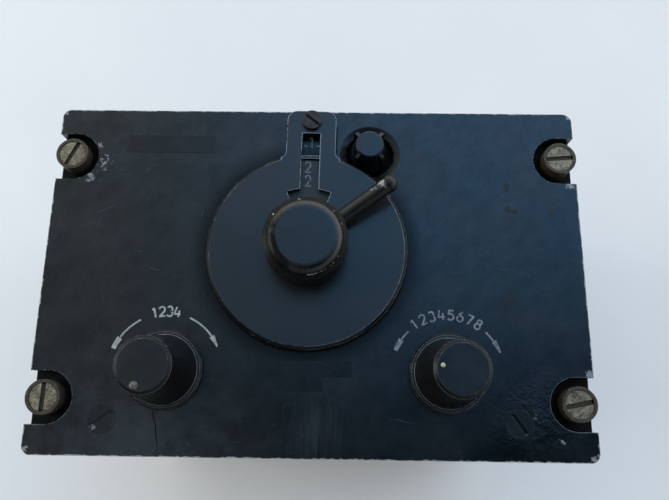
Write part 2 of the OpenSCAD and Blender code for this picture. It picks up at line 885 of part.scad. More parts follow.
// Crank hub, neck and round arm in one piece, bored for the stem of the tip
module crank_arm() {
  arm_end = crank_len - fit_gap;
  color(knob_black)
    difference() {
      union() {
        translate([selector_x, selector_y, 0])
          rod(hub_neck_r, dial_top_z + fit_gap, hub_bottom_z + over);
        translate([selector_x, selector_y, hub_bottom_z])
          rotate_extrude()
            polygon([
              [0, 0], [hub_r - hub_edge, 0], [hub_r, hub_edge], [hub_r, hub_h - hub_edge],
              [hub_r - hub_edge, hub_h], [0, hub_h]
            ]);
        crank_rod(crank_r, 0, arm_end);
      }
      translate([selector_x, selector_y, 0])
        rod(outer_shaft_r + fit_gap, dial_top_z - over, hub_top_z + over);
      crank_rod(crank_stem_r + fit_gap, arm_end - crank_stem_len, arm_end + over);
    }
}

// Moulded domed tip with the stem that is pressed into the end of the crank arm
module crank_tip() {
  color(knob_black)
    union() {
      intersection() {
        crank_ball();
        crank_rod(crank_tip_r + over, crank_len, crank_len + crank_tip_r + over);
      }
      crank_rod(crank_stem_r, crank_len - crank_stem_len, crank_len + lap);
    }
}

// Hollow shaft between the crank hub and the first rotor
module crank_shaft() {
  color(bare_metal)
    translate([selector_x, selector_y, 0])
      tube(outer_shaft_r, inner_bore_r, wafer_top_z - wafer_t - shaft_tail, hub_top_z - shaft_drop);
}

// Flat dial under the cover
module megahertz_dial() {
  color("#23282f")
    translate([selector_x, selector_y, 0])
      tube(dial_r, outer_shaft_r + fit_gap, dial_bottom_z, dial_top_z);
}

// Notched wheel that gives the crank its positions
module detent_wheel() {
  color(brass_tone)
    translate([selector_x, selector_y, 0])
      difference() {
        rod(detent_r, detent_top_z - detent_t, detent_top_z);
        rod(outer_shaft_r + fit_gap, detent_top_z - detent_t - over, detent_top_z + over);
        for (i = [0:detent_count - 1])
          rotate(360 * i / detent_count)
            translate([detent_r + detent_notch_out, 0, 0])
              rod(detent_notch_r, detent_top_z - detent_t - over, detent_top_z + over);
      }
}

// Threaded bush and the flange that carries the switch stack
module selector_bush() {
  color(brass_tone)
    translate([selector_x, selector_y, 0])
      difference() {
        union() {
          rod(bush_r, mount_bottom_z - bush_flange_t, bush_top_z);
          translate([0, 0, mount_bottom_z - bush_flange_t])
            linear_extrude(bush_flange_t)
              round_rect(bush_flange_w, bush_flange_h, bush_flange_corner_r);
        }
        rod(bush_bore_r, mount_bottom_z - bush_flange_t - over, bush_top_z + over);
      }
}

// Nut on the selector bush
module selector_nut() {
  color(brass_tone)
    translate([selector_x, selector_y, 0])
      hex_nut(bush_r + fit_gap);
}

// Leaf and roller beside the detent wheel
module detent_spring() {
  roller_x = detent_r + move_gap + detent_roller_r;
  leaf_x = roller_x + detent_roller_r - lap;
  color(bare_metal)
    translate([selector_x, selector_y, 0])
      rotate(90) {
        translate([roller_x, 0, 0])
          rod(detent_roller_r, detent_top_z - detent_t, detent_top_z);
        translate([leaf_x, -detent_leaf_w / 2, detent_top_z - detent_t])
          cube([detent_leaf_t, detent_leaf_w, mount_bottom_z - detent_top_z + detent_t]);
      }
}

// Ring of insulating board round a rotor, with its contact eyelets
module switch_wafer(top_z) {
  color(insulator_tone)
    translate([selector_x, selector_y, 0])
      difference() {
        tube(wafer_r, wafer_bore_r, top_z - wafer_t, top_z);
        for (s = [-1, 1])
          translate([s * rod_pitch / 2, 0, 0])
            rod(rod_r + fit_gap, top_z - wafer_t - over, top_z + over);
        for (i = [0:detent_count - 1])
          if (i % (detent_count / 2) != 0)
            rotate(360 * i / detent_count)
              translate([wafer_r - wafer_eyelet_in, 0, 0])
                rod(wafer_eyelet_r, top_z - wafer_t - over, top_z + over);
      }
}

// Wafer of the crank
module megahertz_wafer() {
  switch_wafer(wafer_top_z);
}

// Wafer of the tuning knob
module kilohertz_wafer() {
  switch_wafer(second_wafer_top_z);
}

// Two tie rods, each with its spacers and end nut
module switch_rods() {
  second_bottom_z = second_wafer_top_z - wafer_t;
  color(bare_metal)
    for (s = [-1, 1])
      translate([selector_x + s * rod_pitch / 2, selector_y, 0]) {
        rod(rod_r, second_bottom_z - rod_nut_t, mount_bottom_z - bush_flange_t);
        rod(rod_spacer_r, wafer_top_z, mount_bottom_z - bush_flange_t);
        rod(rod_spacer_r, second_wafer_top_z, wafer_top_z - wafer_t);
        rod(rod_spacer_r, second_bottom_z - rod_nut_t, second_bottom_z);
      }
}

// Lamp cap with a flat top and four finger ribs
module lamp_cap() {
  foot_z = mount_top_z + fit_gap;
  top_z = face_z + lamp_cap_h;
  color(knob_black)
    translate([lamp_x, lamp_y, 0])
      difference() {
        union() {
          rotate_extrude()
            polygon([
              [0, foot_z], [lamp_cap_r, foot_z], [lamp_cap_r, face_z],
              [lamp_cap_top_r, top_z - lamp_cap_edge], [lamp_cap_top_r - lamp_cap_edge, top_z], [0, top_z]
            ]);
          for (i = [0:3])
            rotate(45 + 90 * i)
              translate([0, lamp_rib_t / 2, 0])
                rotate([90, 0, 0])
                  linear_extrude(lamp_rib_t)
                    polygon([
                      [lamp_cap_top_r - lamp_rib_root, face_z], [lamp_rib_r, face_z],
                      [lamp_rib_r, face_z + lamp_rib_h],
                      [lamp_rib_r - lamp_rib_edge, top_z - 2 * lamp_rib_edge],
                      [lamp_cap_top_r - lamp_rib_root, top_z - lamp_rib_edge]
                    ]);
        }
        rod(lamp_sleeve_r + fit_gap, foot_z - over, top_z - lamp_cap_roof);
      }
}

// Small bulb inside the cap
module lamp_bulb() {
  top_z = face_z + lamp_cap_h - lamp_cap_roof - lamp_bulb_gap;
  color("#e8d7a0")
    translate([lamp_x, lamp_y, 0])
      rotate_extrude()
        polygon([
          [0, mount_bottom_z], [lamp_bulb_r, mount_bottom_z],
          for (a = [0:18:90])
            [lamp_bulb_r * cos(a), top_z - lamp_bulb_r + lamp_bulb_r * sin(a)]
        ]);
}

// Lamp socket behind the mounting plate, with the sleeve that the cap screws on
module lamp_socket() {
  low_z = mount_bottom_z - lamp_body_h;
  color(brass_tone)
    translate([lamp_x, lamp_y, 0])
      difference() {
        union() {
          rod(lamp_sleeve_r, low_z, face_z);
          rod(lamp_flange_r, mount_bottom_z - lamp_flange_t, mount_bottom_z);
          rod(lamp_body_r, low_z, mount_bottom_z);
        }
        rod(lamp_bulb_r + fit_gap, mount_bottom_z, face_z + over);
      }
}

// Side knob with its skirt, step and taper
module side_knob(x) {
  color(knob_black)
    translate([x, knob_y, knob_bottom_z])
      difference() {
        rotate_extrude()
          polygon([
            [0, 0], [knob_skirt_r, 0], [knob_skirt_r, knob_skirt_h - knob_skirt_bevel],
            [knob_skirt_r - knob_skirt_bevel, knob_skirt_h],
            [knob_foot_r + knob_foot_flare, knob_skirt_h], [knob_foot_r, knob_foot_h],
            [knob_top_r, knob_h - knob_bevel_h], [knob_top_r - knob_bevel_w, knob_h], [0, knob_h]
          ]);
        translate([0, 0, -over])
          cylinder(r = knob_recess_r, h = knob_recess_h + over);
        translate([0, 0, -over])
          cylinder(r = pot_shaft_r + fit_gap, h = knob_bore_d + over);
        set_screw_hole(knob_skirt_r, knob_screw_up);
      }
}

// Set screw of a side knob, sunk below its surface
module side_knob_screw(x) {
  color(tarnished_steel)
    translate([x, knob_y, knob_bottom_z])
      set_screw(pot_shaft_r, knob_screw_up);
}

// Potentiometer shaft
module pot_shaft(x) {
  color(bare_metal)
    translate([x, knob_y, 0])
      rod(pot_shaft_r, mount_bottom_z - pot_bore_d + end_gap, knob_bottom_z + knob_bore_d - end_gap);
}

// Potentiometer body with its threaded bush and solder tags
module pot_body(x) {
  color("#9a9c9e")
    translate([x, knob_y, 0])
      difference() {
        union() {
          rod(pot_r, mount_bottom_z - pot_h, mount_bottom_z);
          rod(bush_r, mount_bottom_z, pot_bush_top_z);
          for (i = [-1:1])
            translate([i * pot_tag_pitch, pot_r - pot_tag_in, mount_bottom_z - pot_tag_drop])
              translate([-pot_tag[0] / 2, 0, 0])
                cube(pot_tag);
        }
        rod(pot_shaft_r + run_gap, mount_bottom_z - pot_bore_d, pot_bush_top_z + over);
      }
}

// Nut on a potentiometer bush
module pot_nut(x) {
  color(brass_tone)
    translate([x, knob_y, 0])
      hex_nut(bush_r + fit_gap);
}

// Left knob and what it turns
module squelch_knob() {
  side_knob(squelch_x);
}

module squelch_knob_screw() {
  side_knob_screw(squelch_x);
}

module squelch_shaft() {
  pot_shaft(squelch_x);
}

module squelch_pot() {
  pot_body(squelch_x);
}

module squelch_nut() {
  pot_nut(squelch_x);
}

// Right knob and what it turns
module volume_knob() {
  side_knob(volume_x);
}

module volume_knob_screw() {
  side_knob_screw(volume_x);
}

module volume_shaft() {
  pot_shaft(volume_x);
}

module volume_pot() {
  pot_body(volume_x);
}

module volume_nut() {
  pot_nut(volume_x);
}

// Power switch on the back of the volume potentiometer
module power_switch() {
  top_z = mount_bottom_z - pot_h;
  color(insulator_tone)
    translate([volume_x, knob_y, 0]) {
      rod(pot_r - power_switch_rim, top_z - power_switch_h, top_z);
      for (s = [-1, 1])
        translate([
          s * power_switch_tag_x - power_switch_tag[0] / 2, -power_switch_tag[1] / 2,
          top_z - power_switch_h - power_switch_tag[2] + over
        ])
          cube(power_switch_tag);
    }
}

// Quarter-turn fastener: slotted head, grooved shank and the spiral wire gap in its tip
module stud(i) {
  place = stud_places[i];
  seat_z = stud_tip_z + cam_seat_depth - cam_rise;
  color(tarnished_steel)
    translate([place[0], place[1], 0])
      difference() {
        union() {
          rod(stud_head_r, stud_head_bottom_z, stud_head_top_z);
          rod(stud_journal_r, mount_bottom_z, stud_head_bottom_z);
          rod(stud_r, stud_tip_z + stud_tip_chamfer, mount_bottom_z + over);
          translate([0, 0, stud_tip_z])
            cylinder(r1 = stud_r - stud_tip_chamfer, r2 = stud_r, h = stud_tip_chamfer);
        }
        driver_slot(stud_head_top_z, stud_head_r, stud_slot_w, stud_slot_d, stud_slot_angles[i]);
        tube(
          stud_journal_r + over, stud_groove_r,
          mount_bottom_z - retainer_t - stud_groove_gap, mount_bottom_z + stud_groove_gap
        );
        translate([-stud_r - over, -cam_gap / 2, stud_tip_z - over])
          cube([2 * (stud_r + over), cam_gap, cam_seat_depth - cam_rise + over]);
        for (a = [0:30:90])
          rotate(a)
            translate([0, 0, seat_z + cam_rise * a / 90])
              rotate([0, 90, 0])
                cylinder(r = cam_gap / 2, h = 2 * (stud_r + over), center = true);
      }
}

module stud_upper_left() {
  stud(0);
}

module stud_upper_right() {
  stud(1);
}

module stud_lower_left() {
  stud(2);
}

module stud_lower_right() {
  stud(3);
}

// Four cups in the mounting plate that hold the fastener heads
module stud_cups() {
  color(tarnished_steel)
    for (place = stud_places)
      translate([place[0], place[1], 0])
        difference() {
          union() {
            rod(cup_r, mount_top_z, cup_top_z);
            rod(cup_spigot_r, mount_bottom_z, mount_top_z + lap);
          }
          rod(cup_bore_r, cup_floor_z, cup_top_z + over);
          rod(stud_journal_r + run_gap, mount_bottom_z - over, cup_floor_z + over);
        }
}

// Four retaining rings that keep the fasteners in the plate
module stud_retainers() {
  color(bare_metal)
    for (place = stud_places)
      translate([place[0], place[1], 0])
        tube(stud_r + retainer_rim, stud_groove_r + run_gap, mount_bottom_z - retainer_t, mount_bottom_z);
}

// Bent sheet side of the chassis, with its front and rear flanges
module chassis_side(side) {
  length = mount_bottom_z - rear_plate_top_z;
  color(bare_metal)
    difference() {
      translate([0, -chassis_side_h / 2, rear_plate_top_z]) {
        translate([side > 0 ? chassis_x - chassis_t : -chassis_x, 0, 0])
          cube([chassis_t, chassis_side_h, length]);
        for (z = [0, length - chassis_t])
          translate([side > 0 ? chassis_x - chassis_flange_w : -chassis_x, 0, z])
            cube([chassis_flange_w, chassis_side_h, chassis_t]);
      }
      for (s = [-1, 1])
        translate([side * chassis_x, s * chassis_side_h / 4, rear_plate_top_z + length / 2])
          rotate([0, 90, 0])
            cylinder(r = chassis_hole_r, h = 4 * chassis_t, center = true);
      for (z = case_screw_zs, s = [-1, 1])
        translate([side * chassis_x, s * case_screw_y, z])
          rotate([0, 90, 0])
            cylinder(r = case_screw_r + fit_gap, h = 4 * chassis_t, center = true);
      for (s = [-1, 1])
        translate([side * chassis_screw_x, s * chassis_screw_y, 0])
          rod(case_screw_r + fit_gap, 0, mount_top_z);
    }
}

module chassis_side_left() {
  chassis_side(-1);
}

module chassis_side_right() {
  chassis_side(1);
}

// Recessed rear plate with the connector holes
module rear_plate() {
  low = rear_plate_z - over;
  high = rear_plate_top_z + over;
  color(bare_metal)
    difference() {
      translate([0, 0, rear_plate_z])
        linear_extrude(chassis_t)
          round_rect(rear_plate_w, rear_plate_h, case_corner_r - case_wall);
      translate([power_x, 0, 0]) {
        rod(power_shell_r + fit_gap, low, high);
        for (sx = [-1, 1], sy = [-1, 1])
          translate([sx * power_screw_pitch / 2, sy * power_screw_pitch / 2, 0])
            rod(case_screw_r + fit_gap, low, high);
      }
      translate([antenna_x, 0, 0])
        rod(antenna_bore_r + fit_gap, low, high);
      for (sx = [-1, 1], sy = [-1, 1]) {
        translate([sx * chassis_screw_x, sy * chassis_screw_y, 0])
          rod(case_screw_r + fit_gap, low, high);
        translate([sx * spacer_x, sy * spacer_y, 0])
          rod(spacer_stub_r + fit_gap, low, high);
      }
    }
}

// Screws of the chassis flanges and of the power connector flange
module chassis_screws() {
  length = chassis_t + mount_plate_t - chassis_screw_short;
  color(tarnished_steel) {
    for (sx = [-1, 1], sy = [-1, 1]) {
      translate([sx * chassis_screw_x, sy * chassis_screw_y, mount_bottom_z - chassis_t])
        pan_screw(case_screw_head_r, case_screw_head_h, case_screw_r, length, 30);
      translate([sx * chassis_screw_x, sy * chassis_screw_y, rear_plate_z])
        pan_screw(case_screw_head_r, case_screw_head_h, case_screw_r, 2 * chassis_t, 50);
      translate([
        power_x + sx * power_screw_pitch / 2, sy * power_screw_pitch / 2, flange_bottom_z
      ])
        pan_screw(
          case_screw_head_r - power_screw_head_less, case_screw_head_h, case_screw_r,
          connector_flange_t + chassis_t, 20
        );
    }
  }
}

// Printed board carried on four spacers
module board(z) {
  color(board_tone)
    difference() {
      translate([0, 0, z])
        linear_extrude(board_t)
          round_rect(board_w, board_h, board_corner_r);
      for (sx = [-1, 1], sy = [-1, 1])
        translate([sx * spacer_x, sy * spacer_y, 0])
          rod(spacer_stub_r + fit_gap, z - over, z + board_t + over);
    }
}

module transmitter_board() {
  board(first_board_z);
}

module receiver_board() {
  board(second_board_z);
}

// Four stepped spacers that carry both boards on the rear plate
module board_spacers() {
  color(bare_metal)
    for (sx = [-1, 1], sy = [-1, 1])
      translate([sx * spacer_x, sy * spacer_y, 0]) {
        rod(spacer_stub_r, rear_plate_z, second_board_top_z);
        rod(spacer_r, rear_plate_top_z, first_board_z);
        rod(spacer_r, first_board_z + board_t, second_board_z);
        rod(spacer_r, second_board_top_z, second_board_top_z + spacer_nut_t);
      }
}

// Row of screening cans on the receiver board
module shield_cans() {
  color(bare_metal)
    for (i = [0:can_count - 1])
      translate([(i - (can_count - 1) / 2) * can_pitch, can_row_y, second_board_top_z])
        difference() {
          linear_extrude(can_h)
            round_rect(can_w, can_w, can_corner_r);
          translate([0, 0, -over])
            linear_extrude(can_h - can_wall + over)
              round_rect(can_w - 2 * can_wall, can_w - 2 * can_wall, can_corner_r - can_wall);
          cylinder(r = can_hole_r, h = can_h + over);
        }
}

// Row of flat crystals on the receiver board
module channel_crystals() {
  color(bare_metal)
    for (i = [0:crystal_count - 1])
      translate([
        (i - (crystal_count - 1) / 2) * crystal_pitch - crystal_pitch, crystal_y, second_board_top_z
      ])
        linear_extrude(crystal_h)
          round_rect(crystal_t, crystal_w, crystal_t / 2 - lap);
}

// Modulation transformer: square core with its coil
module modulation_transformer() {
  low_z = first_board_z + board_t;
  color("#5b5148")
    translate([core_place[0], core_place[1], low_z])
      union() {
        translate([-core_w / 2, -core_d / 2, 0])
          cube([core_w, core_d, core_h]);
        translate([-coil_w / 2, -coil_d / 2, coil_in])
          cube([coil_w, coil_d, core_h - 2 * coil_in]);
      }
}

// Antenna relay with its plain cover
module antenna_relay() {
  color("#7d8087")
    translate([relay_place[0], relay_place[1], first_board_z + board_t])
      linear_extrude(relay_size[2])
        round_rect(relay_size[0], relay_size[1], relay_corner_r);
}

// Plain drawn sleeve that slides over the chassis from behind
module case_sleeve() {
  color("#2a2d31")
    difference() {
      linear_extrude(case_depth)
        round_rect(case_w, case_h, case_corner_r);
      translate([0, 0, -over])
        linear_extrude(case_depth + 2 * over)
          round_rect(case_in_w, case_in_h, case_corner_r - case_wall);
      for (z = case_screw_zs, sx = [-1, 1], sy = [-1, 1])
        translate([sx * case_w / 2, sy * case_screw_y, z])
          rotate([0, 90, 0])
            cylinder(r = case_screw_r + fit_gap, h = 4 * case_wall, center = true);
    }
}

// Eight screws through the sides of the sleeve into the chassis
module case_screws() {
  length = case_wall + slide_gap + chassis_t;
  color(tarnished_steel)
    for (z = case_screw_zs, sx = [-1, 1], sy = [-1, 1])
      translate([sx * case_w / 2, sy * case_screw_y, z])
        rotate([0, -sx * 90, 0])
          pan_screw(case_screw_head_r, case_screw_head_h, case_screw_r, length, 25);
}

// Shell of the power connector with its square flange
module power_connector_shell() {
  color(bare_metal)
    translate([power_x, 0, 0])
      difference() {
        union() {
          rod(power_shell_r, connector_end_z, rear_plate_top_z + power_back);
          translate([0, 0, flange_bottom_z])
            linear_extrude(connector_flange_t)
              round_rect(power_flange, power_flange, power_flange_corner_r);
        }
        rod(power_inner_r, connector_end_z - over, rear_plate_top_z + power_back + over);
        for (sx = [-1, 1], sy = [-1, 1])
          translate([sx * power_screw_pitch / 2, sy * power_screw_pitch / 2, 0])
            rod(case_screw_r + fit_gap, flange_bottom_z - over, rear_plate_z + over);
      }
}

// Insulating insert of the power connector
module power_connector_insert() {
  low_z = connector_end_z + power_insert_drop;
  color("#2f4d3f")
    translate([power_x, 0, 0])
      difference() {
        rod(power_insert_r, low_z, rear_plate_top_z + power_back);
        power_pin_holes(power_pin_r + fit_gap, low_z - over, rear_plate_top_z + power_back + over);
        translate([-power_key_w / 2, power_insert_r - power_key_d, low_z - over])
          cube([power_key_w, 2 * power_key_d, over + power_key_len]);
      }
}

// Places of the power connector pins, one in the middle and a ring round it
module power_pin_holes(r, z0, z1) {
  rod(r, z0, z1);
  for (i = [0:power_pins - 1])
    rotate(360 * i / power_pins)
      translate([power_pin_ring_r, 0, 0])
        rod(r, z0, z1);
}

// Contact pins of the power connector
module power_connector_pins() {
  color(brass_tone)
    translate([power_x, 0, 0])
      power_pin_holes(
        power_pin_r, connector_end_z + power_pin_drop, rear_plate_top_z + power_back + power_pin_tail
      );
}

// Barrel of the antenna jack with its round flange
module antenna_jack() {
  color(bare_metal)
    translate([antenna_x, 0, 0])
      difference() {
        union() {
          rod(antenna_r, connector_end_z, flange_bottom_z + lap);
          rod(antenna_flange_r, flange_bottom_z, rear_plate_z);
        }
        rod(antenna_bore_r, connector_end_z - over, rear_plate_z + over);
      }
}

// Insulator inside the antenna jack
module antenna_insulator() {
  color("#e6e2d6")
    translate([antenna_x, 0, 0])
      tube(
        antenna_bore_r - fit_gap, antenna_contact_r + fit_gap,
        connector_end_z + antenna_insulator_drop, rear_plate_top_z + antenna_back
      );
}

// Centre contact of the antenna jack
module antenna_contact() {
  color(brass_tone)
    translate([antenna_x, 0, 0])
      rod(antenna_contact_r, antenna_contact_z, rear_plate_top_z + antenna_back + antenna_tail);
}

front_plate();
mounting_plate();
plate_screws();
selector_plate();
selector_plate_screw();
tuning_knob();
tuning_knob_screw();
tuning_shaft();
kilohertz_rotor();
crank_arm();
crank_tip();
crank_shaft();
megahertz_dial();
detent_wheel();
megahertz_rotor();
selector_bush();
selector_nut();
detent_spring();
megahertz_wafer();
kilohertz_wafer();
switch_rods();
lamp_cap();
lamp_bulb();
lamp_socket();
squelch_knob();
squelch_knob_screw();
squelch_shaft();
squelch_pot();
squelch_nut();
volume_knob();
volume_knob_screw();
volume_shaft();
volume_pot();
volume_nut();
power_switch();
stud_upper_left();
stud_upper_right();
stud_lower_left();
stud_lower_right();
stud_cups();
stud_retainers();
chassis_side_left();
chassis_side_right();
rear_plate();
chassis_screws();
transmitter_board();
receiver_board();
board_spacers();
shield_cans();
channel_crystals();
modulation_transformer();
antenna_relay();
case_sleeve();
case_screws();
power_connector_shell();
power_connector_insert();
power_connector_pins();
antenna_jack();
antenna_insulator();
antenna_contact();
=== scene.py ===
"""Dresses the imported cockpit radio: camera, light, finishes, legends, dial figures, threads and wear.

Every length is in millimetres of the row frame until a mesh, a light or a node takes it in metres.
"""

import logging
import math
import random
from dataclasses import dataclass, field
from enum import Enum
from functools import partial
from typing import Any, Callable, ClassVar, Iterator, Sequence

import bmesh
import bpy
from bpy.types import Material, Node, NodeSocket, NodeTree, Object
from mathutils import Matrix, Vector

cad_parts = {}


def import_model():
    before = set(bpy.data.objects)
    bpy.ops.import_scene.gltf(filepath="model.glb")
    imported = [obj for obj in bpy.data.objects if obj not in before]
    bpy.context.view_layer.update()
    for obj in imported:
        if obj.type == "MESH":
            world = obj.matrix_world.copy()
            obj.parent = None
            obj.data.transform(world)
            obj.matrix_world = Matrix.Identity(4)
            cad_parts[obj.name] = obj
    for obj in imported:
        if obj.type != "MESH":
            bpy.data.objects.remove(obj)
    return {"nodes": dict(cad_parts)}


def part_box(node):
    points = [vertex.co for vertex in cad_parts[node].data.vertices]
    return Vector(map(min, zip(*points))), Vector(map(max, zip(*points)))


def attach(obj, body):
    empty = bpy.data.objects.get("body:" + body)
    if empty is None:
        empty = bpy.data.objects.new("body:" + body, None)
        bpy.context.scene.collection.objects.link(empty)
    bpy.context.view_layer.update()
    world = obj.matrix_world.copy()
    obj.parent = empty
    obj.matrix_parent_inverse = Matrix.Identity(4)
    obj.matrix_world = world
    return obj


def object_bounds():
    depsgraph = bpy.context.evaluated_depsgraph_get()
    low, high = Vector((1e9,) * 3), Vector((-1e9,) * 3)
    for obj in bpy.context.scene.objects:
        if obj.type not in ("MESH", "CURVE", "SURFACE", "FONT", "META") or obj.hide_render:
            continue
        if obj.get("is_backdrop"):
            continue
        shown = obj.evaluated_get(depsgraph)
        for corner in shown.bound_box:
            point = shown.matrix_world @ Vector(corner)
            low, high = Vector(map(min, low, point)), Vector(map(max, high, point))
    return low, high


MM = 0.001
LOG = logging.getLogger("radio")

# Height of the plate's face, the axis that the selector turns about, and the turn of its cover in degrees
FACE_MM = 106.5
AXIS = (-1.7, 6.4)
COVER_TURN = -1.1
# Height of a mark that is no thicker than a line of dirt
THIN = 0.012

Point = tuple[float, float]
Place = tuple[float, float, float]
Colour = tuple[float, float, float, float]

# Sockets of the colour mix node
MIX_FACTOR, MIX_A, MIX_B = 0, 6, 7


class Body(Enum):
    """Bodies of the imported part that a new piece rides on."""

    CHASSIS = "chassis"
    CRANK = "crank"
    SQUELCH = "squelch"
    VOLUME = "volume"
    UPPER_LEFT = "fastener_upper_left"
    UPPER_RIGHT = "fastener_upper_right"
    LOWER_LEFT = "fastener_lower_left"
    LOWER_RIGHT = "fastener_lower_right"


class Slot(Enum):
    """Material slots of the record; each new piece names one, which nothing here reads."""

    PANEL = "panel_paint"
    DIAL = "dial_paint"
    KNOB = "knob_black"
    BARE_PLATE = "plate_metal"
    CONNECTOR = "connector_metal"
    FASTENER = "tarnished_steel"


def linear(code: str) -> Colour:
    """Turns an sRGB hex value into linear colour.

    Args:
        code: Colour as "#rrggbb".

    Returns:
        Linear red, green, blue and an alpha of 1.
    """
    parts = [int(code[i : i + 2], 16) / 255 for i in (1, 3, 5)]
    red, green, blue = (c / 12.92 if c <= 0.04045 else ((c + 0.055) / 1.055) ** 2.4 for c in parts)
    return red, green, blue, 1.0


def add_node(tree: NodeTree, kind: str, inputs: dict[Any, Any] | None = None, **settings: Any) -> Node:
    """Adds one shader node with its settings, and sets or links its inputs.

    Args:
        tree: Tree that takes the node.
        kind: Node type without its "ShaderNode" start.
        inputs: Value, node or socket for each input, by name or number.
        **settings: Values of the node's own properties.

    Returns:
        The new node.
    """
    node = tree.nodes.new("ShaderNode" + kind)
    for key, value in settings.items():
        setattr(node, key, value)
    for key, value in (inputs or {}).items():
        if isinstance(value, Node):
            value = next(out for out in value.outputs if out.enabled)
        if isinstance(value, NodeSocket):
            tree.links.new(value, node.inputs[key])
        else:
            node.inputs[key].default_value = value
    return node


def per_metre(size_mm: float) -> float:
    """Gives the texture scale whose features are size_mm wide."""
    return 1 / (size_mm * MM)


def polar(centre: Point, radius: float, angle: float) -> Point:
    """Gives the point at a distance from a centre, in a direction in degrees."""
    turn = math.radians(angle)
    return centre[0] + radius * math.cos(turn), centre[1] + radius * math.sin(turn)


def top_of(node: str) -> float:
    """Gives the height of the top of a CAD node, in millimetres."""
    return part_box(node)[1].z / MM


def middle(node: str) -> Point:
    """Gives the middle of a CAD node seen from the front, in millimetres."""
    low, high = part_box(node)
    return (low.x + high.x) / 2 / MM, (low.y + high.y) / 2 / MM


@dataclass(frozen=True)
class Spot:
    """A rubbed place on a surface.

    Attributes:
        place: Centre in the row frame, in millimetres.
        reach: Distance over which the wear fades out, in millimetres.
        density: Share of it that is bare, 1 for a patch and less for a scatter of chips.
    """

    place: Place
    reach: float
    density: float


def spots(height: float, *rows: tuple[float, float, float, float]) -> tuple[Spot, ...]:
    """Gives spots at one height, from rows of place across, place up, reach and density."""
    return tuple(Spot((x, y, height), reach, density) for x, y, reach, density in rows)


@dataclass(frozen=True)
class Wear:
    """How a finish is rubbed through to what lies under it.

    Attributes:
        under: Colour that shows where the finish has gone.
        metallic: Metallic value of that layer.
        roughness: Roughness of that layer.
        edge_mm: Width of the worn band along an edge.
        amount: Share of the edge that is worn, 0 to 1.
        grain_mm: Size of a chip.
        lean: Rise of the worn share per metre along each axis, for a side that is handled more.
        spots: Places that are rubbed away from an edge.
    """

    under: str = "#8d9092"
    metallic: float = 0.85
    roughness: float = 0.45
    edge_mm: float = 0.35
    amount: float = 0.4
    grain_mm: float = 1.6
    lean: Place = (0.0, 0.0, 0.0)
    spots: tuple[Spot, ...] = ()


